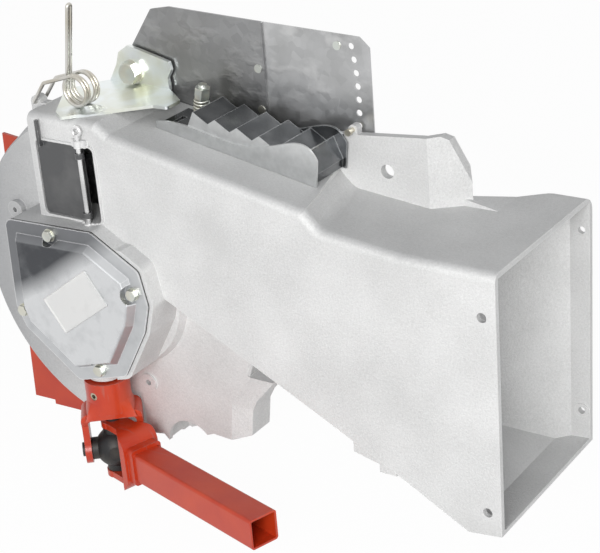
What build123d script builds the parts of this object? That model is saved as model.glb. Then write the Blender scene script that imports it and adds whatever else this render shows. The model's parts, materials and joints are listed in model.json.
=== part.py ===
from build123d import *
from math import atan2, cos, degrees, hypot, pi, radians, sin, tan
import os

# Seed meter of a row planter: a cast body with a rectangular hopper mouth, a seed disc
# behind a suction cover, a bevel gearbox, and a folding joint with a square drive tube.
# Drawn in millimetres from the mouth's lower near corner: X out of the mouth, Y away from
# the gearbox side, Z up. Every piece is written relative to the frame bore in the lug.

os.makedirs("parts", exist_ok=True)

# Driving dimensions: the cast body
WALL = 5.0
MOUTH_HEIGHT = 245.0
MOUTH_DEPTH = 180.0
MOUTH_CORNER_R = 14.0
DUCT_DEPTH = 104.0
DUCT_BACK_LENGTH = 240.0
FLARE_START = 115.0
FLARE_MID = 90.0
FLARE_MID_DEPTH = 122.0
FLANGE_BAND = 21.0
LOWER_EDGE = [(-32, -4), (-103, 35), (-199, 83), (-350, 158)]
SEAT_HOLE_R = 4.5
SEAT_HOLE_INSET = 13.0
SEAT_HOLE_LOW = 21.0
SEAT_HOLE_SPACING = 184.0
FAR_HOLE_R = 3.5
FAR_HOLE_INSET = 8.0
FAR_HOLE_LOW = 32.0
FAR_HOLE_SPACING = 180.0
BODY_LENGTH = 482.0
TOP_FLAT_LENGTH = 86.0
TOP_KNEE_LENGTH = 179.0
TOP_KNEE_RISE = 22.5
TOP_END_LENGTH = BODY_LENGTH - 94.0
TOP_END_RISE = 61.0
SHOULDER_RUN = 15.0
SHOULDER_FOOT_RISE = 8.0
SHOULDER_SLANT = 26.0
COVE_R = 16.0
PLATFORM_RISE = 71.0
PLATFORM_START = BODY_LENGTH - 80.0
ROOF_THICKNESS = 7.0
EDGE_ROUND = 8.0

# Driving dimensions: the disc chamber
DRUM_R = 166.0
RIM_R = 173.0
RIM_THICKNESS = 13.0
DRUM_FACE_Y = 30.0
DRUM_WALL = 6.0
RIM_BACK_Y = 68.0
CHAMBER_R = 144.0
FACE_RING_R = 88.0
FACE_RING_HEIGHT = 8.0
SPOUT_WALL = 5.0
SPOUT_BEVEL = 9.0
ARCH_R = 28.0
COVER_FLANGE_R = 160.0
COVER_FLANGE = 4.0
COVER_DOME_R = 141.0
COVER_DEPTH = 26.0
COVER_WALL = 5.0
COVER_STUD_CIRCLE_R = 152.0
COVER_STUD_R = 3.0
STUD_DEPTH = 10.0
SPIGOT_R = 30.0
SPIGOT_WALL = 3.0
SPIGOT_LENGTH = 40.0
SPIGOT_OFFSET_X = 46.0
SPIGOT_OFFSET_Z = 54.0
DISC_R = 120.0
DISC_THICKNESS = 1.5
DISC_FRONT_Y = 60.0
SEED_HOLE_COUNT = 30
SEED_HOLE_R = 2.5
SEED_CIRCLE_R = 110.0
SUCTION_SLOT = 7.0
RING_WIDTH = 20.0
SHAFT_R = 12.5
BEARING_R = 23.5
BEARING_WIDTH = 12.0
HUB_R = 24.0
HUB_FLANGE_R = 42.0
HUB_FLANGE = 5.0
FINGER_COUNT = 6
FINGER_REACH = 51.0
BORE_PLAY = 0.06
SEAT_GAP = 0.3
RUN_GAP = 0.5

# Driving dimensions: the bevel gearbox
GEARBOX_FRONT_Y = -17.0
GEARBOX_WALL = 8.0
GEARBOX_CORNER_R = 9.0
GEARBOX_FLOOR_Y = 28.0
GASKET_THICKNESS = 1.5
COVER_SHEET = 1.5
PAN_HEIGHT = 8.0
PAN_INSET = 13.0
PAN_DRAFT = 5.0
PAN_ROUND = 3.0
SEAT_RIM = 4.0
COVER_BOLT_CLEAR_R = 9.5
COVER_BOLT_DEPTH = 8.0
GEAR_MODULE = 2.5
GEAR_TEETH = 36
PINION_TEETH = 16
GEAR_FACE = 13.0
ADDENDUM = 2.4
DEDENDUM = 3.0
TOOTH_FILL = 0.4
DRIVE_R = 10.0
BUSH_R = 13.0
BUSH_LENGTH = 20.0
SEAL_LENGTH = 5.0
NECK_DROP = 87.0
M6_R = 3.0
M6_FLATS = 10.0
M6_HEAD = 4.0
M6_NUT = 5.0
M6_WASHER_R = 6.5
WASHER = 1.2

# Driving dimensions: the folding joint and its tube
SOCKET_R = 22.0
SOCKET_TOP = 79.0
SOCKET_LOW = 58.0
JOINT_DROP = 168.0
EAR_INNER = 23.5
EAR_OUTER = 30.0
YOKE_REACH = 38.0
YOKE_WEB = 8.0
EAR_END_R = 14.0
STRAP_END_R = 12.0
EAR_NECK = 10.5
YOKE_WIDE = 15.0
STRAP_WIDE = 20.0
COLLAR_END = 55.0
COLLAR_WIDTH = 34.0
COLLAR_HEIGHT = 38.0
JOINT_PIN_R = 7.0
SPIDER_R = 20.5
SPIDER_FLAT = 19.0
SPIDER_REACH = 33.0
JOINT_SWING_R = 34.5
RELIEF_HEIGHT = 49.0
EAR_AXIS_ANGLE = 40.0
TUBE_SWING = 33.8
FOLD_PAST_LEVEL = 2.77
TUBE_SIZE = 30.0
TUBE_WALL = 2.0
TUBE_CORNER_R = 3.0
TUBE_END = 235.4
STUB_LENGTH = 20.0
ROLL_PIN_R = 4.0
ROLL_PIN_BORE_R = 2.2
ROLL_PIN_HEIGHT = 66.0

# Driving dimensions: the lug, the bracket and the sheets on top
LUG_FRONT_Y = 96.0
LUG_THICKNESS = 8.0
LUG_PAST_PIN = 38.0
FRAME_BORE_X = -154.0
FRAME_BORE_Z = MOUTH_HEIGHT + 28.0
FRAME_BORE_R = 6.6
BRACKET_SHEET = 3.0
BRACKET_DIMPLE_R = 49.0
BRACKET_DIMPLE = 2.0
EAR_FRONT_Y = 98.5
EAR_SHEET = 4.0
PIVOT_FROM_END = 50.0
PIVOT_HEIGHT = 15.0
PIVOT_R = 6.0
PIVOT_FLATS = 19.0
PIVOT_HEAD = 7.5
PIVOT_NUT = 10.0
PIVOT_WASHER_R = 12.0
PIVOT_WASHER = 2.5
SPACER_R = 14.0
GATE_FRONT_Y = 105.0
GATE_SHEET = 2.0
INDEX_SHEET = 1.5
INDEX_R = 246.0
INDEX_HOLE_R = 3.0
INDEX_COUNT = 7
INDEX_STEP = 2.8
INDEX_FIRST = -5.6
INDEX_PIN_R = 2.3
INDEX_PIN_TRAVEL = 5.0
INDEX_PIN_HEAD_R = 3.2
INDEX_BOSS_R = 4.5
GATE_OVERLAP = 97.0
GATE_RIVET_R = 4.0
GATE_RIVET_NEAR_HEAD = 0.7
GATE_RIVET_FAR_HEAD = 1.2

# Driving dimensions: door, clip and stepped block
PORT_FROM_END = 8.0
PORT_WIDTH = 69.0
PORT_DROP = 98.0
PORT_HEIGHT = 74.0
PORT_CORNER_R = 5.0
PORT_LIP = 2.0
PORT_LIP_HEIGHT = 1.5
DOOR_GAP = 0.8
DOOR_SHEET = 3.0
DOOR_CORNER_R = 4.5
DOOR_ROD_R = 2.5
DOOR_ROD_FROM_EDGE = 14.0
DOOR_ROD_Y = -3.5
KNUCKLE_R = 4.2
KNUCKLE_LENGTH = 5.0
HINGE_TAB = 7.0
TONGUE_WIDTH = 3.0
TONGUE_HEIGHT = 20.0
WIRE_R = 1.75
STRAND_HALF = 2.2
COIL_HALF = 8.5
COIL_R = 14.0
COIL_START = 169.7
COIL_STOP = 827.0
COIL_HALF_TURNS = 3
CLIP_Y = 30.0
CLIP_HANDLE = 97.0
CLIP_BEND_R = 3.5
COIL_OFFSET_X = 54.0
BLOCK_FROM_END = 116.0
BLOCK_NEAR_Y = 47.0
BLOCK_WIDTH = 46.0
BLOCK_LENGTH = 170.0
BLOCK_SHEET = 3.0
BLOCK_PLATE = 2.0
TOOTH_COUNT = 6
TOOTH_PITCH = 24.0
TOOTH_START = 31.0
TOOTH_RISE = 7.0
TOOTH_BACK = 17.0
RIDGE_HEIGHT = 27.0
VALLEY_HEIGHT = 20.5
LAST_FACET_FOOT = 9.0
BLOCK_BOLT_R = 4.0
BLOCK_BOLT_FROM_LEFT = 21.0
BLOCK_BOLT_Y = 84.0
BLOCK_NUT_FLATS = 13.0
BLOCK_NUT = 11.0
SPRING_WIRE_R = 1.1
SPRING_R = 6.6
SPRING_TURNS = 5
SPRING_LENGTH = 17.5

# Driving dimensions: the side plate
PLATE_SHEET = 3.0

# Places worked out from the sizes above
PLATFORM_Z = MOUTH_HEIGHT + PLATFORM_RISE
DISC_X = 54.0 - BODY_LENGTH
DISC_Z = PLATFORM_Z - RIM_R
SPIGOT_X = DISC_X + SPIGOT_OFFSET_X
SPIGOT_Z = DISC_Z + SPIGOT_OFFSET_Z
NECK_LOW_Z = DISC_Z - NECK_DROP
JOINT_Z = DISC_Z - JOINT_DROP
RELIEF_TOP_Z = JOINT_Z + RELIEF_HEIGHT
PIVOT_X = PIVOT_FROM_END - BODY_LENGTH
PIVOT_Z = PLATFORM_Z + PIVOT_HEIGHT
PORT_LEFT_X = PORT_FROM_END - BODY_LENGTH
PORT_LOW_Z = PLATFORM_Z - PORT_DROP
CLIP_EYE_X = -BODY_LENGTH - 10.0
CLIP_EYE_Z = PLATFORM_Z + 1.0
BLOCK_LEFT_X = BLOCK_FROM_END - BODY_LENGTH
BLOCK_BOLT_X = BLOCK_LEFT_X + BLOCK_BOLT_FROM_LEFT
DRUM_BACK_Y = DRUM_FACE_Y + DRUM_WALL
COVER_BACK_Y = RIM_BACK_Y + COVER_DEPTH
DISC_BACK_Y = DISC_FRONT_Y + DISC_THICKNESS
LUG_BACK_Y = LUG_FRONT_Y + LUG_THICKNESS
GASKET_FRONT_Y = GEARBOX_FRONT_Y - GASKET_THICKNESS
COVER_FRONT_Y = GASKET_FRONT_Y - COVER_SHEET
GEAR_R = GEAR_MODULE * GEAR_TEETH / 2
PINION_R = GEAR_MODULE * PINION_TEETH / 2
CONE = hypot(GEAR_R, PINION_R)
SLOPE = atan2(TOP_END_RISE - TOP_KNEE_RISE, TOP_END_LENGTH - TOP_KNEE_LENGTH)
PORT_RIGHT_X = PORT_LEFT_X + PORT_WIDTH
PORT_TOP_Z = PORT_LOW_Z + PORT_HEIGHT
DOOR_ROD_X = PORT_RIGHT_X - DOOR_ROD_FROM_EDGE
BLOCK_FAR_Y = BLOCK_NEAR_Y + BLOCK_WIDTH
BRACKET_TOP_Z = PLATFORM_Z + BRACKET_SHEET
EAR_BACK_Y = EAR_FRONT_Y + EAR_SHEET
GATE_BACK_Y = GATE_FRONT_Y + GATE_SHEET
INDEX_BACK_Y = GATE_BACK_Y + INDEX_SHEET
COIL_X = CLIP_EYE_X + COIL_OFFSET_X
COIL_Z = BRACKET_TOP_Z + COIL_R + WIRE_R + SEAT_GAP
COVER_STUD_ANGLES = [90, 38, -30, -82, 150, 210]
PLATE_STUD_ANGLES = [150, 210]
COVER_BOLTS = [(-27, 63), (67, 21), (-75, -24), (13, -70)]
BRACKET_SCREWS = [(PIVOT_X - 18, 86), (PIVOT_X + 20, 86)]
FAR = 600.0


# Helpers
def slab(outline, near_y, far_y, corner_r=0):
    """A solid with an outline in X and Z, between two depths."""
    face = make_face(Polyline(*[(x, near_y, z) for x, z in outline], close=True))
    if corner_r:
        face = fillet(face.vertices(), corner_r)
    return extrude(face, amount=far_y - near_y, dir=(0, 1, 0))


def plan_slab(outline, low_z, high_z, corner_r=0):
    """A solid with an outline in X and Y, between two heights."""
    face = make_face(Polyline(*[(x, y, low_z) for x, y in outline], close=True))
    if corner_r:
        face = fillet(face.vertices(), corner_r)
    return extrude(face, amount=high_z - low_z, dir=(0, 0, 1))


def rod_y(x, z, radius, near_y, far_y):
    """A round rod along Y."""
    return Location((x, (near_y + far_y) / 2, z), (90, 0, 0)) * Cylinder(radius, far_y - near_y)


def rod_z(x, y, radius, low_z, high_z):
    """A round rod along Z."""
    return Pos(x, y, (low_z + high_z) / 2) * Cylinder(radius, high_z - low_z)


def block(low, high):
    """A box between two corners."""
    size = [b - a for a, b in zip(low, high)]
    middle = [(a + b) / 2 for a, b in zip(low, high)]
    return Pos(*middle) * Box(*size)


def ring_y(x, z, outer, inner, near_y, far_y):
    """A flat ring or washer along Y."""
    return rod_y(x, z, outer, near_y, far_y) - rod_y(x, z, inner, near_y - 1, far_y + 1)


def hexagon(across_flats, height):
    """A hexagonal head standing on the ground plane, its upper corners turned off."""
    prism = extrude(RegularPolygon(across_flats / 2, 6, major_radius=False), amount=height)
    cap = Pos(0, 0, height / 2) * Cylinder(across_flats / 2 + height * 0.5, height)
    rim = cap.edges().group_by(Axis.Z)[-1]
    return prism & chamfer(rim, height * 0.25, height * 0.48)


def hex_y(x, z, across_flats, seat_y, height):
    """A hexagonal head or nut on a seat, pointing to +Y, or to -Y for a negative height."""
    tilt = -90 if height > 0 else 90
    return Location((x, seat_y, z), (tilt, 0, 0)) * hexagon(across_flats, abs(height))


def turned(profile, arc=360):
    """A solid of revolution round the disc shaft from (radius, y) points."""
    face = make_face(Polyline(*[(r, y, 0) for r, y in profile], close=True))
    return Pos(DISC_X, 0, DISC_Z) * revolve(face, axis=Axis.Y, revolution_arc=arc)


def shifted(x, z, points):
    """Outline points measured from a reference point."""
    return [(x + a, z + b) for a, b in points]


def on_circle(radius, angle):
    """A point in X and Z round the disc shaft."""
    turn = radians(angle)
    return DISC_X + radius * cos(turn), DISC_Z + radius * sin(turn)


def top_z(x):
    """Height of the body's sloping top."""
    return MOUTH_HEIGHT + TOP_KNEE_RISE + (-TOP_KNEE_LENGTH - x) * tan(SLOPE)


def slope_place(x, y):
    """A place on the sloping top, with its Z pointing out of the surface."""
    return Location((x, y, top_z(x)), (0, degrees(SLOPE), 0))


def slope_outline(points):
    """Outline points given along and above the sloping top, from the block's left end."""
    base_z = top_z(BLOCK_LEFT_X)
    return [(BLOCK_LEFT_X + s * cos(SLOPE) + h * sin(SLOPE), base_z - s * sin(SLOPE) + h * cos(SLOPE))
            for s, h in points]


def index_hole(number):
    """Where an index hole lies on its circle round the pivot."""
    turn = radians(INDEX_FIRST + number * INDEX_STEP)
    return PIVOT_X + INDEX_R * cos(turn), PIVOT_Z + INDEX_R * sin(turn)


def write(name, *shapes):
    """Save the solids of one piece, measured from the frame bore."""
    shift = Pos(-FRAME_BORE_X, -LUG_FRONT_Y, -FRAME_BORE_Z)
    solids = [shift * solid for shape in shapes for solid in shape.solids()]
    whole = solids[0] if len(solids) == 1 else Compound(children=solids)
    export_step(whole, f"parts/{name}.step")


# Outlines that the body shares with what fits on it
def shoulder(shift):
    """Where the sloping top ends and drops to the roof of the mouth."""
    left_x = -TOP_KNEE_LENGTH - shift
    return [(left_x, top_z(left_x)), (left_x + SHOULDER_RUN, MOUTH_HEIGHT + SHOULDER_FOOT_RISE),
            (-TOP_FLAT_LENGTH, MOUTH_HEIGHT)]


def duct_outline(mouth_x, top):
    """Outline of the near wall, from the door end to the mouth."""
    return [(-BODY_LENGTH, PLATFORM_Z), (-PLATFORM_START, PLATFORM_Z),
            (-TOP_END_LENGTH, MOUTH_HEIGHT + TOP_END_RISE), *top, (mouth_x, MOUTH_HEIGHT), (mouth_x, 0),
            *LOWER_EDGE, (-BODY_LENGTH, LOWER_EDGE[-1][1])]


def duct_plan(mouth_x):
    """Plan of the body: a straight near wall, and a far wall that flares to the mouth."""
    return [(-BODY_LENGTH, 0), (mouth_x, 0), (mouth_x, MOUTH_DEPTH), (-FLANGE_BAND, MOUTH_DEPTH),
            (-FLARE_MID, FLARE_MID_DEPTH), (-FLARE_START, DUCT_DEPTH),
            (-DUCT_BACK_LENGTH, DUCT_DEPTH), (-DUCT_BACK_LENGTH, RIM_BACK_Y), (-BODY_LENGTH, RIM_BACK_Y)]


def gearbox_face(inset, y):
    """Outline of the gearbox seat and its cover, drawn in by an inset."""
    points = shifted(DISC_X, DISC_Z, [(-83, 70), (23, 74), (75, 44), (82, 10), (74, -18), (44, -70),
                                      (-16, -88), (-77, -43), (-86, -22)])
    face = make_face(Polyline(*[(x, y, z) for x, z in points], close=True))
    rounded = fillet(face.vertices(), GEARBOX_CORNER_R)
    return offset(rounded, -inset) if inset else rounded


def gearbox_slab(inset, near_y, far_y):
    """The gearbox outline between two depths."""
    return extrude(gearbox_face(inset, near_y), amount=far_y - near_y, dir=(0, 1, 0))


def cover_bolt_places():
    return shifted(DISC_X, DISC_Z, COVER_BOLTS)


# Main casting
def shoulder_cut():
    """What is missing above the mouth's roof; the shoulder runs at a slant across the body."""
    knee, foot, flat = shoulder(0)
    outline = [knee, foot, flat, (-FLANGE_BAND, MOUTH_HEIGHT), (-FLANGE_BAND, PLATFORM_Z), (knee[0], PLATFORM_Z)]
    face = make_face(Polyline(*[(x, 0, z) for x, z in outline], close=True))
    face = fillet([v for v in face.vertices() if abs(v.X - foot[0]) < 0.01], COVE_R)
    across = Vector(-SHOULDER_SLANT, DUCT_DEPTH, 0)
    return Pos(*(across * -0.1)) * extrude(face, amount=across.length * 1.2, dir=across)


def duct_shell():
    slope_foot = -TOP_KNEE_LENGTH + TOP_KNEE_RISE / tan(SLOPE)
    shell = slab(duct_outline(0, [(slope_foot, MOUTH_HEIGHT)]), 0, MOUTH_DEPTH)
    shell = (shell & plan_slab(duct_plan(0), -FAR, FAR)) - shoulder_cut()
    corners = [edge for edge in shell.edges().filter_by(Axis.X)
               if edge.center().Y > MOUTH_DEPTH - 1 and edge.center().X > -FLANGE_BAND]
    shell = fillet(corners, MOUTH_CORNER_R)
    near_top = [edge for edge in shell.edges()
                if abs(edge.center().Y) < 0.01 and edge.center().Z > MOUTH_HEIGHT - 1]
    return fillet(near_top, EDGE_ROUND)


def seed_outlet():
    """The spout under the drum that the seed falls through, bevelled along its right side."""
    outline = shifted(DISC_X, DISC_Z, [(38, -103), (38, -160), (46, -168), (101, -144), (124, -145),
                                       (141, -140), (145, -111), (151, -100), (172, -76), (120, -60)])
    spout = slab(outline, DRUM_FACE_Y, RIM_BACK_Y)
    bevelled = [edge for edge in spout.edges() if abs(edge.center().Y - DRUM_FACE_Y) < 0.01
                and edge.center().X > DISC_X + 142 and edge.center().Z < DISC_Z - 80]
    return chamfer(bevelled, SPOUT_BEVEL, 2 * SPOUT_BEVEL)


def outlet_hollow():
    inside = slab(shifted(DISC_X, DISC_Z, [(38 + SPOUT_WALL, -95), (38 + SPOUT_WALL, -190),
                                           (122, -190), (122, -128), (108, -95)]),
                  DRUM_FACE_Y + SPOUT_WALL, RIM_BACK_Y - SPOUT_WALL)
    arch_x = DISC_X + 72
    arch_z = DISC_Z - 166
    return inside + rod_y(arch_x, arch_z, ARCH_R, DRUM_FACE_Y - 1, DRUM_FACE_Y + SPOUT_WALL + 1)


def drum():
    disc_side = turned([(0, DRUM_FACE_Y), (DRUM_R - 2, DRUM_FACE_Y), (DRUM_R, DRUM_FACE_Y + 2),
                        (DRUM_R, RIM_BACK_Y - RIM_THICKNESS - 2), (RIM_R, RIM_BACK_Y - RIM_THICKNESS),
                        (RIM_R, RIM_BACK_Y), (0, RIM_BACK_Y)])
    raised = turned([(0, DRUM_FACE_Y - FACE_RING_HEIGHT),
                     (FACE_RING_R - 4, DRUM_FACE_Y - FACE_RING_HEIGHT),
                     (FACE_RING_R, DRUM_FACE_Y + 1), (0, DRUM_FACE_Y + 1)])
    above_top = slab([(-PLATFORM_START, PLATFORM_Z), (-TOP_END_LENGTH, MOUTH_HEIGHT + TOP_END_RISE),
                      (-DUCT_BACK_LENGTH, top_z(-DUCT_BACK_LENGTH)), (-DUCT_BACK_LENGTH, FAR),
                      (-PLATFORM_START, FAR)], 0, FAR)
    return disc_side + raised - above_top


def roof():
    """The plate over the suction cover that carries the bracket and the stepped block."""
    right_x = -DUCT_BACK_LENGTH + WALL
    upper = [(12 - BODY_LENGTH, PLATFORM_Z), (-PLATFORM_START, PLATFORM_Z),
             (-TOP_END_LENGTH, MOUTH_HEIGHT + TOP_END_RISE), (right_x, top_z(right_x))]
    lower = [(x, z - ROOF_THICKNESS) for x, z in reversed(upper)]
    return slab(upper + lower, RIM_BACK_Y - WALL, DUCT_DEPTH)


def frame_lug():
    """The upright lug from the index pin to the flare, where it bends back."""
    left_x = index_hole(0)[0] - LUG_PAST_PIN
    low_z = top_z(left_x) - ROOF_THICKNESS
    outline = shifted(FRAME_BORE_X, FRAME_BORE_Z, [(-36, -23), (50, 37), (56, 33), (74, -16), (68, -33)])
    outline = [outline[0], (left_x, low_z), (left_x, FRAME_BORE_Z + 26), *outline[1:]]
    bend_x = FRAME_BORE_X + 41
    plan = [(bend_x, LUG_FRONT_Y), (bend_x + 30, LUG_FRONT_Y + 23), (bend_x + 25, LUG_BACK_Y + 21),
            (bend_x - 3, LUG_BACK_Y), (left_x - 1, LUG_BACK_Y), (left_x - 1, LUG_FRONT_Y)]
    return slab(outline, LUG_FRONT_Y, LUG_BACK_Y + 40) & plan_slab(plan, 0, FAR)


def duct_hollow():
    outline = duct_outline(2 * WALL, shoulder(SHOULDER_SLANT))
    side = make_face(Polyline(*[(x, -1, z) for x, z in outline], close=True))
    side = extrude(offset(side, -WALL, kind=Kind.INTERSECTION), amount=FAR, dir=(0, 1, 0))
    plan = make_face(Polyline(*[(x, y, -FAR) for x, y in duct_plan(2 * WALL)], close=True))
    plan = extrude(offset(plan, -WALL, kind=Kind.INTERSECTION), amount=2 * FAR, dir=(0, 0, 1))
    return (side & plan) - gearbox_slab(-SEAT_RIM - 2, GEARBOX_FRONT_Y, DRUM_BACK_Y)


def chamber_hollow():
    wide_r = DRUM_R - DRUM_WALL
    ledge_y = RIM_BACK_Y - RIM_THICKNESS
    return turned([(0, DRUM_BACK_Y), (wide_r, DRUM_BACK_Y), (wide_r, ledge_y), (CHAMBER_R, ledge_y),
                   (CHAMBER_R, RIM_BACK_Y + 1), (0, RIM_BACK_Y + 1)])


def gearbox_housing(body):
    """Cuts the gear case into the body and adds its bosses and bearing seats."""
    body = body - gearbox_slab(GEARBOX_WALL, GEARBOX_FRONT_Y - 1, GEARBOX_FLOOR_Y)
    bush_top_z = NECK_LOW_Z + SEAL_LENGTH + BUSH_LENGTH
    body = body + rod_z(DISC_X, 0, -GEARBOX_FRONT_Y, NECK_LOW_Z, bush_top_z)
    for x, z in cover_bolt_places():
        body = body + rod_y(x, z, 2.5 * M6_R, GEARBOX_FRONT_Y, GEARBOX_FLOOR_Y + 1)
    body = body - rod_z(DISC_X, 0, BUSH_R, NECK_LOW_Z - 1, bush_top_z + 1)
    for x, z in cover_bolt_places():
        body = body - rod_y(x, z, M6_R, GEARBOX_FRONT_Y - 1, GEARBOX_FRONT_Y + COVER_BOLT_DEPTH)
    seat_back_y = GEARBOX_FLOOR_Y + BEARING_WIDTH
    body = body + rod_y(DISC_X, DISC_Z, BEARING_R + WALL, DRUM_BACK_Y - 1, seat_back_y + 2)
    body = body - rod_y(DISC_X, DISC_Z, BEARING_R, GEARBOX_FLOOR_Y - 1, seat_back_y)
    return body - rod_y(DISC_X, DISC_Z, SHAFT_R + WALL, seat_back_y - 1, seat_back_y + 3)


def joint_relief(body):
    """Hollows the drum's face where the fork turns past it, and keeps its wall behind."""
    wall = rod_z(DISC_X, 0, JOINT_SWING_R + WALL, DISC_Z - CHAMBER_R, RELIEF_TOP_Z + WALL)
    wall = wall & block((-FAR, DRUM_FACE_Y, -FAR), (0, RIM_BACK_Y - RIM_THICKNESS, FAR))
    return body + wall - rod_z(DISC_X, 0, JOINT_SWING_R, DISC_Z - 2 * RIM_R, RELIEF_TOP_Z)


def port_slab(growth, near_y, far_y):
    """The port's outline between two depths, with rounded corners."""
    outline = [(PORT_LEFT_X - growth, PORT_LOW_Z - growth), (PORT_RIGHT_X + growth, PORT_LOW_Z - growth),
               (PORT_RIGHT_X + growth, PORT_TOP_Z + growth), (PORT_LEFT_X - growth, PORT_TOP_Z + growth)]
    return slab(outline, near_y, far_y, PORT_CORNER_R + growth)


def inspection_port(body):
    """Cuts the port and adds its lip and the two tabs that hold the door's rod."""
    body = body + port_slab(PORT_LIP, -PORT_LIP_HEIGHT, 1)
    body = body - port_slab(0, -PORT_LIP_HEIGHT - 1, DRUM_BACK_Y)
    for low_z in (PORT_LOW_Z - HINGE_TAB, PORT_TOP_Z):
        tab = block((DOOR_ROD_X - 8, DOOR_ROD_Y, low_z), (DOOR_ROD_X + 8, 2, low_z + HINGE_TAB))
        nose = rod_z(DOOR_ROD_X, DOOR_ROD_Y, KNUCKLE_R, low_z, low_z + HINGE_TAB)
        body = body + tab + nose - rod_z(DOOR_ROD_X, DOOR_ROD_Y, DOOR_ROD_R, low_z - 1, low_z + HINGE_TAB + 1)
    return body


def clip_ear():
    ear = block((CLIP_EYE_X - 6, CLIP_Y - 5, CLIP_EYE_Z - 26), (-BODY_LENGTH + 2, CLIP_Y + 5, CLIP_EYE_Z))
    return ear + rod_y(CLIP_EYE_X, CLIP_EYE_Z, 6, CLIP_Y - 5, CLIP_Y + 5)


def small_bosses(body):
    """The drum's little eye, a threaded boss, the foot under the duct and the pin boss."""
    eye_x, eye_z = on_circle(DRUM_R - 40, 153)
    body = body + rod_y(eye_x, eye_z, 9, DRUM_FACE_Y - 7, DRUM_FACE_Y + 2)
    body = body - rod_y(eye_x, eye_z, 2.6, DRUM_FACE_Y - 8, DRUM_FACE_Y + 1)
    thread_x, thread_z = on_circle(DRUM_R - 58, -75)
    body = body + rod_y(thread_x, thread_z, 9, DRUM_FACE_Y - 2, DRUM_BACK_Y)
    body = body - rod_y(thread_x, thread_z, M6_R, DRUM_FACE_Y - 3, DRUM_BACK_Y + 1)
    foot = slab([(-146, 44), (-120, 38), (-120, 30), (-103, 30), (-103, 36), (-146, 58)], 2, 22)
    low_hole_ring = rod_y(-FAR_HOLE_INSET, FAR_HOLE_LOW, 2 * FAR_HOLE_R, MOUTH_DEPTH - WALL - 1.5, MOUTH_DEPTH - 1)
    body = body + low_hole_ring
    pin_x, pin_z = index_hole(0)
    boss = rod_y(pin_x, pin_z, INDEX_BOSS_R, LUG_FRONT_Y, LUG_BACK_Y)
    boss = boss + block((pin_x - INDEX_BOSS_R, LUG_FRONT_Y, top_z(pin_x)),
                        (pin_x + INDEX_BOSS_R, LUG_BACK_Y, pin_z))
    body = body + foot + boss
    return body - rod_y(pin_x, pin_z, INDEX_PIN_R + BORE_PLAY, LUG_FRONT_Y - 1, LUG_BACK_Y + 1)


def fastening_holes():
    holes = [rod_y(FRAME_BORE_X, FRAME_BORE_Z, FRAME_BORE_R, LUG_FRONT_Y - 1, LUG_BACK_Y + 1)]
    for z in (SEAT_HOLE_LOW, SEAT_HOLE_LOW + SEAT_HOLE_SPACING):
        holes.append(rod_y(-SEAT_HOLE_INSET, z, SEAT_HOLE_R, -1, WALL + 1))
    for z in (FAR_HOLE_LOW, FAR_HOLE_LOW + FAR_HOLE_SPACING):
        holes.append(rod_y(-FAR_HOLE_INSET, z, FAR_HOLE_R, MOUTH_DEPTH - WALL - 3, MOUTH_DEPTH + 1))
    for angle in COVER_STUD_ANGLES:
        x, z = on_circle(COVER_STUD_CIRCLE_R, angle)
        holes.append(rod_y(x, z, COVER_STUD_R, RIM_BACK_Y - STUD_DEPTH, RIM_BACK_Y + 1))
    for x, y in BRACKET_SCREWS:
        holes.append(rod_z(x, y, M6_R, PLATFORM_Z - ROOF_THICKNESS - 1, PLATFORM_Z + 1))
    depth = 2 * ROOF_THICKNESS
    holes.append(slope_place(BLOCK_BOLT_X, BLOCK_BOLT_Y) * rod_z(0, 0, BLOCK_BOLT_R, -depth, 1))
    holes.append(rod_y(CLIP_EYE_X, CLIP_EYE_Z, WIRE_R + BORE_PLAY, CLIP_Y - 6, CLIP_Y + 6))
    return holes


def gearbox_seat():
    """The gear case's outside; to the right it stands out past its cover."""
    right_half = block((DISC_X + 30, GEARBOX_FRONT_Y, -FAR), (0, DRUM_FACE_Y + 1, DISC_Z + 60))
    return gearbox_slab(0, GEARBOX_FRONT_Y, DRUM_FACE_Y + 1) + (
        gearbox_slab(-SEAT_RIM, GEARBOX_FRONT_Y, DRUM_FACE_Y + 1) & right_half)


def meter_body():
    body = duct_shell() + drum() + seed_outlet() + roof() + frame_lug() + gearbox_seat()
    body = body - duct_hollow() - chamber_hollow() - outlet_hollow()
    body = joint_relief(gearbox_housing(body))
    body = inspection_port(body) + clip_ear()
    body = small_bosses(body)
    for hole in fastening_holes():
        body = body - hole
    return body


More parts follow.
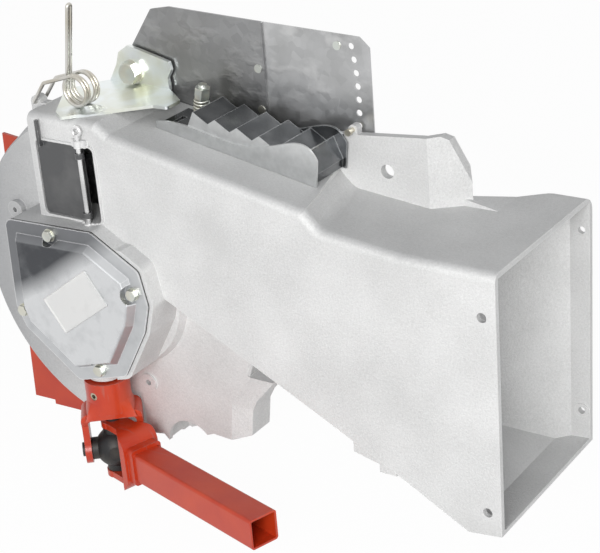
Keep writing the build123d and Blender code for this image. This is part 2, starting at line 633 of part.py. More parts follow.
# Suction cover, its ring and its fasteners
def suction_cover():
    slot_near = SEED_CIRCLE_R - SUCTION_SLOT / 2 - 2
    slot_far = SEED_CIRCLE_R + SUCTION_SLOT / 2 + 2
    cover = turned([(0, RIM_BACK_Y), (COVER_FLANGE_R, RIM_BACK_Y),
                    (COVER_FLANGE_R, RIM_BACK_Y + COVER_FLANGE),
                    (COVER_DOME_R, RIM_BACK_Y + COVER_FLANGE), (COVER_DOME_R - 10, COVER_BACK_Y),
                    (0, COVER_BACK_Y)])
    floor_y = RIM_BACK_Y + COVER_WALL
    inner_y = COVER_BACK_Y - COVER_WALL
    hollow = turned([(slot_near, RIM_BACK_Y - 1), (slot_far, RIM_BACK_Y - 1), (slot_far, inner_y),
                     (HUB_FLANGE_R, inner_y), (HUB_FLANGE_R, floor_y), (slot_near, floor_y)])
    spigot = rod_y(SPIGOT_X, SPIGOT_Z, SPIGOT_R, inner_y, COVER_BACK_Y + SPIGOT_LENGTH)
    cover = cover - hollow + chamfer(spigot.edges().sort_by(Axis.Y)[-1], 1)
    for turn in range(0, 360, 45):
        start_x, start_z = on_circle(BEARING_R + 6, turn)
        end_x, end_z = on_circle(COVER_DOME_R - 14, turn)
        mid = ((start_x + end_x) / 2, COVER_BACK_Y + 1, (start_z + end_z) / 2)
        if hypot(mid[0] - SPIGOT_X, mid[2] - SPIGOT_Z) > 2 * SPIGOT_R:
            cover = cover + Location(mid, (0, -turn, 0)) * Box(hypot(end_x - start_x, end_z - start_z), 6, 4)
    cover = cover + rod_y(DISC_X, DISC_Z, BEARING_R + 8, COVER_BACK_Y - 1, COVER_BACK_Y + 4)
    cover = cover - rod_y(SPIGOT_X, SPIGOT_Z, SPIGOT_R - SPIGOT_WALL, inner_y - 1, FAR)
    cover = cover - rod_y(DISC_X, DISC_Z, SHAFT_R + 3, RIM_BACK_Y - 1, inner_y + 1)
    cover = cover - rod_y(DISC_X, DISC_Z, BEARING_R, RIM_BACK_Y - 1, RIM_BACK_Y + BEARING_WIDTH)
    for angle in COVER_STUD_ANGLES:
        x, z = on_circle(COVER_STUD_CIRCLE_R, angle)
        cover = cover - rod_y(x, z, COVER_STUD_R + SEAT_GAP, RIM_BACK_Y - 1, RIM_BACK_Y + COVER_FLANGE + 1)
    return cover


def suction_ring():
    """The wear ring that the disc runs against, with its slot over the seed holes."""
    near_y = DISC_BACK_Y + SEAT_GAP
    inner = SEED_CIRCLE_R - RING_WIDTH / 2
    outer = SEED_CIRCLE_R + RING_WIDTH / 2
    ring = turned([(inner, near_y), (outer, near_y), (outer, RIM_BACK_Y), (inner, RIM_BACK_Y)])
    slot_near = SEED_CIRCLE_R - SUCTION_SLOT / 2
    slot_far = SEED_CIRCLE_R + SUCTION_SLOT / 2
    slot = turned([(slot_near, near_y - 1), (slot_far, near_y - 1), (slot_far, RIM_BACK_Y + 1),
                   (slot_near, RIM_BACK_Y + 1)], arc=250)
    return ring - slot


def stud_seat_y(angle):
    """Where the nut of a stud sits; two studs also hold the side plate."""
    seat_y = RIM_BACK_Y + COVER_FLANGE
    return seat_y + PLATE_SHEET if angle in PLATE_STUD_ANGLES else seat_y


def cover_studs():
    studs = []
    for angle in COVER_STUD_ANGLES:
        x, z = on_circle(COVER_STUD_CIRCLE_R, angle)
        studs.append(rod_y(x, z, COVER_STUD_R, RIM_BACK_Y - STUD_DEPTH, stud_seat_y(angle) + M6_NUT + 3))
    return studs


def cover_nuts():
    nuts = []
    for angle in COVER_STUD_ANGLES:
        x, z = on_circle(COVER_STUD_CIRCLE_R, angle)
        seat_y = stud_seat_y(angle)
        nut = hex_y(x, z, M6_FLATS, seat_y, M6_NUT)
        nuts.append(nut - rod_y(x, z, COVER_STUD_R, seat_y - 1, seat_y + M6_NUT + 1))
    return nuts


def side_plate():
    plate_y = RIM_BACK_Y + COVER_FLANGE
    outline = shifted(DISC_X, DISC_Z, [(-164, 113), (-177, -191), (-149, -190), (-149, -195), (-92, -193),
                                       (-100, -100), (-100, 60), (-112, 107)])
    plate = slab(outline, plate_y, plate_y + PLATE_SHEET)
    plate = plate - rod_y(DISC_X, DISC_Z, COVER_DOME_R + 1, plate_y - 1, plate_y + PLATE_SHEET + 1)
    for angle in PLATE_STUD_ANGLES:
        x, z = on_circle(COVER_STUD_CIRCLE_R, angle)
        plate = plate - rod_y(x, z, COVER_STUD_R + SEAT_GAP, plate_y - 1, plate_y + PLATE_SHEET + 1)
    return plate


# What turns with the seed disc
def disc_shaft():
    shaft = rod_y(DISC_X, DISC_Z, SHAFT_R, 10, COVER_BACK_Y - COVER_WALL)
    return chamfer(shaft.edges().filter_by(GeomType.CIRCLE), 1)


def disc_hub():
    back = GEARBOX_FLOOR_Y + BEARING_WIDTH + 2 + RUN_GAP
    return turned([(SHAFT_R, back), (HUB_R, back), (HUB_R, DISC_FRONT_Y - HUB_FLANGE),
                   (HUB_FLANGE_R, DISC_FRONT_Y - HUB_FLANGE), (HUB_FLANGE_R, DISC_FRONT_Y),
                   (SHAFT_R, DISC_FRONT_Y)])


def seed_disc():
    disc = turned([(SHAFT_R, DISC_FRONT_Y), (DISC_R, DISC_FRONT_Y), (DISC_R, DISC_BACK_Y),
                   (SHAFT_R, DISC_BACK_Y)])
    for number in range(SEED_HOLE_COUNT):
        x, z = on_circle(SEED_CIRCLE_R, number * 360 / SEED_HOLE_COUNT)
        disc = disc - rod_y(x, z, SEED_HOLE_R, DISC_FRONT_Y - 1, DISC_BACK_Y + 1)
    return disc


def disc_nut():
    nut = hex_y(DISC_X, DISC_Z, 3 * SHAFT_R, DISC_BACK_Y, HUB_FLANGE)
    return nut - rod_y(DISC_X, DISC_Z, SHAFT_R, DISC_BACK_Y - 1, DISC_BACK_Y + HUB_FLANGE + 1)


def agitator():
    """A star wheel on the hub that keeps the seed moving."""
    near_y = DISC_FRONT_Y - HUB_FLANGE - 8
    far_y = near_y + 6
    star = rod_y(DISC_X, DISC_Z, HUB_R + 8, near_y, far_y)
    for number in range(FINGER_COUNT):
        turn = number * 360 / FINGER_COUNT
        x, z = on_circle(FINGER_REACH - 12, turn)
        star = star + Location((x, near_y + 3, z), (0, -turn, 0)) * Box(24, 6, 8)
    return star - rod_y(DISC_X, DISC_Z, HUB_R, near_y - 1, far_y + 1)


def ball_bearing(near_y):
    """Two races and their seals as one ring, with a groove in both faces."""
    ring = ring_y(DISC_X, DISC_Z, BEARING_R, SHAFT_R + BORE_PLAY, near_y, near_y + BEARING_WIDTH)
    for edge_y in (near_y - 1, near_y + BEARING_WIDTH - 1):
        ring = ring - ring_y(DISC_X, DISC_Z, BEARING_R - 3, SHAFT_R + 4, edge_y, edge_y + 2)
    return ring


# Bevel gears: both cones meet in one apex on the crossing of the two shafts
def bevel_tooth(pitch_r, depth):
    """One tooth along +X, for a gear whose axis is Z and whose cone tip is the origin."""
    half_pitch = GEAR_MODULE * pi * TOOTH_FILL / 2
    outward = Vector(depth, 0, -pitch_r) / CONE
    sections = []
    for share in (1.0, 1 - GEAR_FACE / CONE):
        middle = Vector(pitch_r, 0, depth)
        levels = [(middle + outward * ADDENDUM, half_pitch * 0.5), (middle, half_pitch),
                  (middle - outward * (DEDENDUM + 0.5), half_pitch * 1.25)]
        left = [(point + Vector(0, width, 0)) * share for point, width in levels]
        right = [(point - Vector(0, width, 0)) * share for point, width in reversed(levels)]
        sections.append(make_face(Polyline(*left, *right, close=True)))
    return loft(sections, ruled=True)


def bevel_gear(pitch_r, depth, teeth, bore_r, back, first_turn):
    """A bevel gear with its cone tip at the origin, seen along Z; back is its far face."""
    outward = Vector(depth, 0, -pitch_r) / CONE
    heel = Vector(pitch_r, 0, depth) - outward * DEDENDUM
    toe = heel * (1 - GEAR_FACE / CONE)
    profile = [(bore_r, toe.Z), (toe.X, toe.Z), (heel.X, heel.Z), (heel.X, back), (bore_r, back)]
    face = make_face(Polyline(*[(r, 0, z) for r, z in profile], close=True))
    gear = revolve(face, axis=Axis.Z, revolution_arc=360)
    tooth = bevel_tooth(pitch_r, depth)
    for number in range(teeth):
        gear = gear + Rot(0, 0, first_turn + number * 360 / teeth) * tooth
    return gear - Pos(0, 0, depth) * Cylinder(bore_r, 4 * pitch_r)


def disc_gear():
    gear = bevel_gear(GEAR_R, PINION_R, GEAR_TEETH, SHAFT_R, GEARBOX_FLOOR_Y - RUN_GAP,
                      90 + 180 / GEAR_TEETH)
    return Location((DISC_X, 0, DISC_Z), (-90, 0, 0)) * gear


def drive_pinion():
    pinion = bevel_gear(PINION_R, GEAR_R, PINION_TEETH, DRIVE_R, GEAR_R + 8, 90)
    return Location((DISC_X, 0, DISC_Z), (180, 0, 0)) * pinion


def drive_shaft():
    low_z = JOINT_Z + SOCKET_LOW - 4
    shaft = rod_z(DISC_X, 0, DRIVE_R, low_z, DISC_Z - (GEAR_R - 9))
    return chamfer(shaft.edges().filter_by(GeomType.CIRCLE), 1) - roll_pin_rod(2 * SOCKET_R)


def collar_z(inner_r, low_z, high_z):
    """A plain sleeve round the upright drive shaft."""
    return rod_z(DISC_X, 0, BUSH_R, low_z, high_z) - rod_z(DISC_X, 0, inner_r, low_z - 1, high_z + 1)


# Gearbox cover
def gearbox_gasket():
    gasket = gearbox_slab(0, GASKET_FRONT_Y, GEARBOX_FRONT_Y)
    gasket = gasket - gearbox_slab(GEARBOX_WALL, GASKET_FRONT_Y - 1, GEARBOX_FRONT_Y + 1)
    for x, z in cover_bolt_places():
        gasket = gasket + rod_y(x, z, 2.5 * M6_R, GASKET_FRONT_Y, GEARBOX_FRONT_Y)
        gasket = gasket - rod_y(x, z, M6_R, GASKET_FRONT_Y - 1, GEARBOX_FRONT_Y + 1)
    return gasket


def pan_form(growth, base_y, top_y):
    """The raised middle of the cover, with hollows round its bolts."""
    form = loft([gearbox_face(PAN_INSET + growth, base_y), gearbox_face(PAN_INSET + PAN_DRAFT + growth, top_y)],
                ruled=True)
    form = fillet(form.faces().sort_by(Axis.Y)[0].edges(), PAN_ROUND - growth)
    for x, z in cover_bolt_places():
        form = form - rod_y(x, z, COVER_BOLT_CLEAR_R + growth, top_y - 1, base_y + 1)
    return form


def gearbox_cover():
    cover = gearbox_slab(0, COVER_FRONT_Y, GASKET_FRONT_Y)
    cover = cover + pan_form(0, COVER_FRONT_Y, COVER_FRONT_Y - PAN_HEIGHT)
    cover = cover - pan_form(COVER_SHEET, COVER_FRONT_Y, COVER_FRONT_Y - PAN_HEIGHT + COVER_SHEET)
    cover = cover - cover_opening()
    for x, z in cover_bolt_places():
        cover = cover - rod_y(x, z, M6_R + SEAT_GAP, COVER_FRONT_Y - 1, GASKET_FRONT_Y + 1)
    return cover


def cover_opening():
    """The flange sheet is open behind the pan."""
    opening = gearbox_slab(PAN_INSET + COVER_SHEET, COVER_FRONT_Y, GASKET_FRONT_Y)
    for x, z in cover_bolt_places():
        opening = opening - rod_y(x, z, COVER_BOLT_CLEAR_R + COVER_SHEET, COVER_FRONT_Y - 1, GASKET_FRONT_Y + 1)
    return opening


def gearbox_bolts():
    bolts = []
    seat_y = COVER_FRONT_Y - WASHER
    for x, z in cover_bolt_places():
        head = hex_y(x, z, M6_FLATS, seat_y, -M6_HEAD)
        bolts.append(head + rod_y(x, z, M6_R, seat_y, GEARBOX_FRONT_Y + COVER_BOLT_DEPTH - 1))
    return bolts


def gearbox_washers():
    return [ring_y(x, z, M6_WASHER_R, M6_R, COVER_FRONT_Y - WASHER, COVER_FRONT_Y)
            for x, z in cover_bolt_places()]


# Folding joint: two forks on one spider; each fork is drawn with its pins along X and its
# shaft along Z, and then placed
def fork(end_r, neck, wide, arms_from, bend):
    """Two ears and the web that joins them."""
    side = [(-EAR_OUTER, -end_r - 1), (-EAR_INNER, -end_r - 1), (-EAR_INNER, YOKE_REACH),
            (EAR_INNER, YOKE_REACH), (EAR_INNER, -end_r - 1), (EAR_OUTER, -end_r - 1),
            (EAR_OUTER, YOKE_REACH + YOKE_WEB), (-EAR_OUTER, YOKE_REACH + YOKE_WEB)]
    face = make_face(Polyline(*[(x, -FAR, z) for x, z in side], close=True))
    inner = [v for v in face.vertices() if abs(v.Z - YOKE_REACH) < 0.1]
    face = fillet(inner, bend / 2)
    outer = [v for v in face.vertices() if v.Z > YOKE_REACH + YOKE_WEB - 0.1]
    face = fillet(outer, bend)
    arms = extrude(face, amount=2 * FAR, dir=(0, 1, 0))
    top = YOKE_REACH + YOKE_WEB
    plan = [(neck, 0), (neck, arms_from), (wide, YOKE_REACH), (wide, top), (-wide, top),
            (-wide, YOKE_REACH), (-neck, arms_from), (-neck, 0)]
    strap = make_face(Polyline(*[(-FAR, y, z) for y, z in plan], close=True))
    strap = extrude(strap, amount=2 * FAR, dir=(1, 0, 0))
    strap = strap + Rot(0, 90, 0) * Cylinder(end_r, 2 * FAR)
    holes = Rot(0, 90, 0) * Cylinder(JOINT_PIN_R + BORE_PLAY, 4 * EAR_OUTER)
    return (arms & strap) - holes


def joint_axes():
    """The two pin directions and the tube's direction in the folded rest."""
    turn = radians(EAR_AXIS_ANGLE)
    lift = radians(FOLD_PAST_LEVEL)
    swing = radians(TUBE_SWING)
    first_pins = Vector(cos(turn), sin(turn), 0)
    level = Vector(sin(turn), -cos(turn), 0)
    straight = level * cos(lift) + Vector(0, 0, sin(lift))
    second_pins = Vector(0, 0, cos(lift)) - level * sin(lift)
    tube = straight * cos(swing) + first_pins * sin(swing)
    return first_pins, second_pins, tube


def joint_place(pins, shaft):
    return Plane(origin=(DISC_X, 0, JOINT_Z), x_dir=pins, z_dir=shaft).location


def shaft_yoke():
    yoke = fork(EAR_END_R, EAR_NECK, YOKE_WIDE, YOKE_REACH * 0.8, YOKE_WEB)
    top = YOKE_REACH + YOKE_WEB
    flare = loft([Pos(0, 0, YOKE_REACH + 2) * Rectangle(2 * EAR_OUTER - 10, 2 * SOCKET_R - 8),
                  Pos(0, 0, SOCKET_LOW) * Circle(SOCKET_R)], ruled=False)
    socket = Pos(0, 0, (top + SOCKET_TOP) / 2) * Cylinder(SOCKET_R, SOCKET_TOP - top)
    yoke = yoke + (flare - Pos(0, 0, YOKE_REACH / 2) * Box(2 * FAR, 2 * FAR, YOKE_REACH)) + socket
    yoke = yoke - Pos(0, 0, SOCKET_LOW - 4 + FAR / 2) * Cylinder(DRIVE_R, FAR)
    first_pins, second_pins, tube = joint_axes()
    placed = joint_place(first_pins, Vector(0, 0, 1)) * yoke
    return placed - roll_pin_rod(2 * SOCKET_R)


def roll_pin_rod(length):
    """The cross hole of the socket, square to the fork's pins."""
    place = Location((DISC_X, 0, JOINT_Z + ROLL_PIN_HEIGHT), (90, 0, EAR_AXIS_ANGLE))
    return place * Cylinder(ROLL_PIN_R, length)


def yoke_pin():
    place = Location((DISC_X, 0, JOINT_Z + ROLL_PIN_HEIGHT), (90, 0, EAR_AXIS_ANGLE))
    return roll_pin_rod(2 * SOCKET_R - 1) - place * Cylinder(ROLL_PIN_BORE_R, 2 * FAR)


def joint_spider():
    """The cross: a round middle with four pins."""
    middle = Sphere(SPIDER_R) & Box(2 * SPIDER_FLAT, 2 * SPIDER_FLAT, 2 * SPIDER_FLAT)
    pin = Cylinder(JOINT_PIN_R, 2 * SPIDER_REACH)
    shoulder = Cylinder(JOINT_PIN_R + 4, 2 * (EAR_INNER - SEAT_GAP))
    cross = middle + Rot(0, 90, 0) * (pin + shoulder) + Rot(90, 0, 0) * (pin + shoulder)
    first_pins, second_pins, tube = joint_axes()
    return Plane(origin=(DISC_X, 0, JOINT_Z), x_dir=first_pins,
                 z_dir=first_pins.cross(second_pins)).location * cross


def tube_section(size, corner_r, start, end):
    face = RectangleRounded(size, size, corner_r)
    return Pos(0, 0, start) * extrude(face, amount=end - start)


def tube_yoke():
    yoke = fork(STRAP_END_R, EAR_NECK + 0.5, STRAP_WIDE, YOKE_REACH * 0.58, 2 * YOKE_WEB)
    collar = Box(COLLAR_HEIGHT, COLLAR_WIDTH, COLLAR_END - YOKE_REACH - 1)
    collar = fillet(collar.edges().filter_by(Axis.Z), 4)
    yoke = yoke + Pos(0, 0, (COLLAR_END + YOKE_REACH + 1) / 2) * collar
    stub_size = TUBE_SIZE - 2 * TUBE_WALL
    yoke = yoke + tube_section(stub_size, TUBE_CORNER_R - TUBE_WALL, COLLAR_END - 1, COLLAR_END + STUB_LENGTH)
    first_pins, second_pins, tube = joint_axes()
    return joint_place(second_pins, tube) * yoke


def drive_tube():
    tube = tube_section(TUBE_SIZE, TUBE_CORNER_R, COLLAR_END, TUBE_END)
    inside = tube_section(TUBE_SIZE - 2 * TUBE_WALL, TUBE_CORNER_R - TUBE_WALL, COLLAR_END - 1, TUBE_END + 1)
    first_pins, second_pins, direction = joint_axes()
    return joint_place(second_pins, direction) * (tube - inside)


# Bracket on the platform and the plate that tilts on it
def bracket():
    base = plan_slab([(PIVOT_X - 4, -3), (PIVOT_X + 56, 55), (PIVOT_X + 72, 56), (PIVOT_X + 72, 76),
                      (PIVOT_X + 42, EAR_FRONT_Y), (PIVOT_X - 32, EAR_FRONT_Y), (PIVOT_X - 54, 60),
                      (PIVOT_X - 18, 6)], PLATFORM_Z, BRACKET_TOP_Z, 3)
    ear = slab(shifted(PIVOT_X, PIVOT_Z, [(-32, -15), (-20, 5), (-16, 17), (-4, 25), (10, 22), (44, 14),
                                          (46, 6), (41, -2), (42, -15)]), EAR_FRONT_Y, EAR_BACK_Y, 2)
    bracket = base + ear
    dimple_z = BRACKET_TOP_Z + BRACKET_DIMPLE_R - BRACKET_DIMPLE
    bracket = bracket - Pos(PIVOT_X + 11, 22, dimple_z) * Sphere(BRACKET_DIMPLE_R)
    for x, y in BRACKET_SCREWS:
        bracket = bracket - rod_z(x, y, M6_R, PLATFORM_Z - 1, BRACKET_TOP_Z - 1)
    return bracket - rod_y(PIVOT_X, PIVOT_Z, PIVOT_R, EAR_FRONT_Y - 1, EAR_BACK_Y + 1)


def bracket_screws():
    screws = []
    seat_z = PLATFORM_Z - ROOF_THICKNESS
    for x, y in BRACKET_SCREWS:
        head = Location((x, y, seat_z), (180, 0, 0)) * hexagon(M6_FLATS, M6_HEAD)
        screws.append(head + rod_z(x, y, M6_R, seat_z, BRACKET_TOP_Z - 1))
    return screws


def pivot_stack():
    """Where each layer on the pivot bolt ends, from the washer under the head to the nut."""
    washer_y = EAR_FRONT_Y - PIVOT_WASHER
    spacer_far_y = GATE_FRONT_Y - SEAT_GAP
    washer_far_y = GATE_BACK_Y + SEAT_GAP + 2
    return washer_y, spacer_far_y, washer_far_y


def pivot_bolt():
    washer_y, spacer_far_y, washer_far_y = pivot_stack()
    head = hex_y(PIVOT_X, PIVOT_Z, PIVOT_FLATS, washer_y, -PIVOT_HEAD)
    return head + rod_y(PIVOT_X, PIVOT_Z, PIVOT_R, washer_y, washer_far_y + PIVOT_NUT + 2)


def pivot_washers():
    washer_y, spacer_far_y, washer_far_y = pivot_stack()
    return [ring_y(PIVOT_X, PIVOT_Z, PIVOT_WASHER_R, PIVOT_R, washer_y, EAR_FRONT_Y),
            ring_y(PIVOT_X, PIVOT_Z, SPACER_R, PIVOT_R, EAR_BACK_Y, spacer_far_y),
            ring_y(PIVOT_X, PIVOT_Z, PIVOT_WASHER_R, PIVOT_R, GATE_BACK_Y + SEAT_GAP, washer_far_y)]


def pivot_nut():
    washer_far_y = pivot_stack()[2]
    nut = hex_y(PIVOT_X, PIVOT_Z, PIVOT_FLATS, washer_far_y, PIVOT_NUT)
    return nut - rod_y(PIVOT_X, PIVOT_Z, PIVOT_R, washer_far_y - 1, washer_far_y + PIVOT_NUT + 1)


def gate_rivet_places():
    """Two rivets join the sheets near the gate's right edge; a third sits near the last index hole."""
    edge = INDEX_R - GATE_OVERLAP
    return shifted(PIVOT_X, PIVOT_Z, [(edge - 7, 17), (edge - 7, -22), (INDEX_R - 19, 47)])


def gate_plate():
    right = INDEX_R - GATE_OVERLAP
    outline = shifted(PIVOT_X, PIVOT_Z, [(-16, -3), (-5, 21), (24, 61), (45, 65), (right, 61), (right, -44),
                                         (60, -34), (-8, -25)])
    plate = slab(outline, GATE_FRONT_Y, GATE_BACK_Y, 2)
    for x, z in gate_rivet_places()[:2]:
        plate = plate - rod_y(x, z, M6_R, GATE_FRONT_Y - 1, GATE_BACK_Y + 1)
    return plate - rod_y(PIVOT_X, PIVOT_Z, PIVOT_R + BORE_PLAY, GATE_FRONT_Y - 1, GATE_BACK_Y + 1)


def index_sheet():
    left = INDEX_R - GATE_OVERLAP - 17
    right = INDEX_R + 14
    outline = shifted(PIVOT_X, PIVOT_Z, [(left, 61), (right - 10, 57), (right, 48), (right, -51), (left, -45)])
    sheet = slab(outline, GATE_BACK_Y, INDEX_BACK_Y, 1)
    for number in range(INDEX_COUNT):
        x, z = index_hole(number)
        sheet = sheet - rod_y(x, z, INDEX_HOLE_R, GATE_BACK_Y - 1, INDEX_BACK_Y + 1)
    for x, z in gate_rivet_places():
        sheet = sheet - rod_y(x, z, M6_R, GATE_BACK_Y - 1, INDEX_BACK_Y + 1)
    return sheet


def gate_rivets():
    rivets = []
    for x, z in gate_rivet_places():
        near_y = GATE_FRONT_Y if x < PIVOT_X + INDEX_R - GATE_OVERLAP else GATE_BACK_Y
        rivet = rod_y(x, z, M6_R, near_y, INDEX_BACK_Y)
        rivet = rivet + rod_y(x, z, GATE_RIVET_R, near_y - GATE_RIVET_NEAR_HEAD, near_y)
        rivets.append(rivet + rod_y(x, z, GATE_RIVET_R, INDEX_BACK_Y, INDEX_BACK_Y + GATE_RIVET_FAR_HEAD))
    return rivets


def index_pin():
    x, z = index_hole(0)
    tip_y = LUG_BACK_Y + 0.6
    head_y = LUG_FRONT_Y - INDEX_PIN_TRAVEL - RUN_GAP
    return rod_y(x, z, INDEX_PIN_R, head_y, tip_y) + rod_y(x, z, INDEX_PIN_HEAD_R, head_y - 3, head_y)


# Door
def inspection_door():
    """A plate whose right edge ends at its rod, with a narrow tongue over the casting's edge."""
    low_z = PORT_LOW_Z + DOOR_GAP
    high_z = PORT_TOP_Z - DOOR_GAP
    left_x = PORT_LEFT_X + DOOR_GAP
    door = slab([(left_x, low_z), (DOOR_ROD_X, low_z), (DOOR_ROD_X, high_z), (left_x, high_z)],
                0, DOOR_SHEET, DOOR_CORNER_R)
    for knuckle_z in (low_z + DOOR_CORNER_R, high_z - DOOR_CORNER_R - KNUCKLE_LENGTH):
        web = block((DOOR_ROD_X - KNUCKLE_R, DOOR_ROD_Y, knuckle_z),
                    (DOOR_ROD_X, DOOR_SHEET, knuckle_z + KNUCKLE_LENGTH))
        door = door + web + rod_z(DOOR_ROD_X, DOOR_ROD_Y, KNUCKLE_R, knuckle_z, knuckle_z + KNUCKLE_LENGTH)
    tongue_y = -PORT_LIP_HEIGHT - SEAT_GAP - DOOR_SHEET
    tongue_x = left_x + DOOR_CORNER_R
    step = block((tongue_x, tongue_y, high_z - 5), (tongue_x + TONGUE_WIDTH, 1, high_z))
    tongue = block((tongue_x, tongue_y, high_z - 5),
                   (tongue_x + TONGUE_WIDTH, tongue_y + DOOR_SHEET, PORT_TOP_Z + TONGUE_HEIGHT))
    door = door + step + tongue
    return door - rod_z(DOOR_ROD_X, DOOR_ROD_Y, DOOR_ROD_R + BORE_PLAY, low_z - 1, high_z + 1)


def door_pin():
    """The rod of the door, with an eye at its top."""
    top = PORT_TOP_Z + HINGE_TAB + 6
    rod = rod_z(DOOR_ROD_X, DOOR_ROD_Y, DOOR_ROD_R, PORT_LOW_Z - HINGE_TAB, top)
    eye = Location((DOOR_ROD_X, DOOR_ROD_Y, top + 2.5), (90, 0, 0)) * Torus(4.2, 1.6)
    return rod + eye


# Wire clip
def coil_point(angle, y):
    """A point of the clip's coil; the coil is wound from half turns."""
    turn = radians(angle)
    return COIL_X + COIL_R * cos(turn), y, COIL_Z + COIL_R * sin(turn)


def latch_clip():
    """A hairpin handle whose two legs each wind into a coil and hook into the ear."""
    inner_y = CLIP_Y - STRAND_HALF
    outer_y = CLIP_Y - COIL_HALF
    top_z = CLIP_EYE_Z + CLIP_HANDLE
    path = FilletPolyline((COIL_X, CLIP_Y, top_z), (COIL_X, inner_y, top_z), coil_point(COIL_START, inner_y),
                          radius=STRAND_HALF - 0.05).edges()
    rise = (inner_y - outer_y) / COIL_HALF_TURNS
    for number in range(COIL_HALF_TURNS):
        angle = COIL_START + 180 * number
        y = inner_y - rise * number
        half_turn = ThreePointArc(coil_point(angle, y), coil_point(angle + 90, y - rise / 2),
                                  coil_point(angle + 180, y - rise))
        path.append(half_turn.edge())
    wound = COIL_START + 180 * COIL_HALF_TURNS
    rest = ThreePointArc(coil_point(wound, outer_y), coil_point((wound + COIL_STOP) / 2, outer_y),
                         coil_point(COIL_STOP, outer_y))
    path.append(rest.edge())
    lead = FilletPolyline(coil_point(COIL_STOP, outer_y), (CLIP_EYE_X + 17, outer_y, CLIP_EYE_Z + 21.5),
                          (CLIP_EYE_X, outer_y, CLIP_EYE_Z), (CLIP_EYE_X, CLIP_Y, CLIP_EYE_Z),
                          radius=CLIP_BEND_R)
    path.extend(lead.edges())
    wire = Wire(path)
    half = sweep(Plane(wire @ 0, z_dir=wire % 0) * Circle(WIRE_R), path=wire)
    return half + mirror(half, about=Plane(origin=(0, CLIP_Y, 0), z_dir=(0, 1, 0)))


# Stepped block and its spring bolt
def block_side(left_end, near_y):
    """A side plate of the block: low at the left, and a rounded hump over the last ridges."""
    left = slope_outline(left_end)
    hump = slope_outline([left_end[-1], (50, 12.5), (91, 13), (132, 27), (157, 35), (172.5, 24.5)])
    right = slope_outline([(172.5, 24.5), (BLOCK_LENGTH + 4, SEAT_GAP)])
    line = [Spline(*[(x, near_y, z) for x, z in hump]),
            Polyline(*[(x, near_y, z) for x, z in [*right, *left]])]
    return extrude(make_face(line), amount=BLOCK_PLATE, dir=(0, 1, 0))


def louvre_block():
    """A folded sheet cover with a row of ridges between two side plates."""
    ridges = [(0, SEAT_GAP), (0, BLOCK_SHEET + SEAT_GAP), (TOOTH_START, BLOCK_SHEET + SEAT_GAP)]
    for number in range(TOOTH_COUNT):
        ridge = TOOTH_START + TOOTH_RISE + number * TOOTH_PITCH
        ridges.append((ridge, RIDGE_HEIGHT))
        ridges.append((ridge + TOOTH_BACK, VALLEY_HEIGHT))
    ridges[-1] = (BLOCK_LENGTH, LAST_FACET_FOOT)
    ridges.append((BLOCK_LENGTH, SEAT_GAP))
    steps = slab(slope_outline(ridges), BLOCK_NEAR_Y, BLOCK_FAR_Y)
    near = block_side([(0, SEAT_GAP), (0, 7)], BLOCK_NEAR_Y - BLOCK_PLATE)
    far = block_side([(TOOTH_START, SEAT_GAP), (TOOTH_START, 11)], BLOCK_FAR_Y)
    ceiling = VALLEY_HEIGHT - BLOCK_SHEET
    last_ridge = BLOCK_LENGTH - TOOTH_BACK + BLOCK_SHEET
    inside = slab(slope_outline([(TOOTH_START + 4, 0), (TOOTH_START + 12, ceiling), (last_ridge, ceiling),
                                 (BLOCK_LENGTH - 2 * BLOCK_SHEET, 0)]),
                  BLOCK_NEAR_Y + BLOCK_SHEET, BLOCK_FAR_Y - BLOCK_SHEET)
    bolt_place = slope_place(BLOCK_BOLT_X, BLOCK_BOLT_Y)
    hole = bolt_place * rod_z(0, 0, BLOCK_BOLT_R + BORE_PLAY, -1, 2 * BLOCK_SHEET)
    slot = bolt_place * block((-14, -30, -1), (-10, -8, 2 * BLOCK_SHEET))
    return steps + near + far - inside - hole - slot


def block_stack():
    """Heights of the layers on the block's bolt above the sloping top."""
    washer = BLOCK_SHEET + 2 * SEAT_GAP
    spring = washer + 1.7
    nut = spring + SPRING_LENGTH
    return washer, spring, nut


def block_bolt():
    washer, spring, nut = block_stack()
    head = Location((0, 0, -ROOF_THICKNESS), (180, 0, 0)) * hexagon(BLOCK_NUT_FLATS, 5)
    shank = rod_z(0, 0, BLOCK_BOLT_R, -ROOF_THICKNESS, nut + BLOCK_NUT + 3)
    return slope_place(BLOCK_BOLT_X, BLOCK_BOLT_Y) * (head + shank)


def block_washer():
    washer, spring, nut = block_stack()
    ring = rod_z(0, 0, 8, washer, spring) - rod_z(0, 0, BLOCK_BOLT_R, 0, nut)
    return slope_place(BLOCK_BOLT_X, BLOCK_BOLT_Y) * ring


def block_spring():
    washer, spring, nut = block_stack()
    height = SPRING_LENGTH - 2 * SPRING_WIRE_R
    helix = Pos(0, 0, spring + SPRING_WIRE_R) * Helix(height / SPRING_TURNS, height, SPRING_R)
    coil = sweep(Plane(helix @ 0, z_dir=helix % 0) * Circle(SPRING_WIRE_R), path=helix, is_frenet=True)
    return slope_place(BLOCK_BOLT_X, BLOCK_BOLT_Y) * coil


def block_nut():
    washer, spring, nut = block_stack()
    shape = Pos(0, 0, nut) * hexagon(BLOCK_NUT_FLATS, BLOCK_NUT) - rod_z(0, 0, BLOCK_BOLT_R, 0, FAR)
    return slope_place(BLOCK_BOLT_X, BLOCK_BOLT_Y) * shape


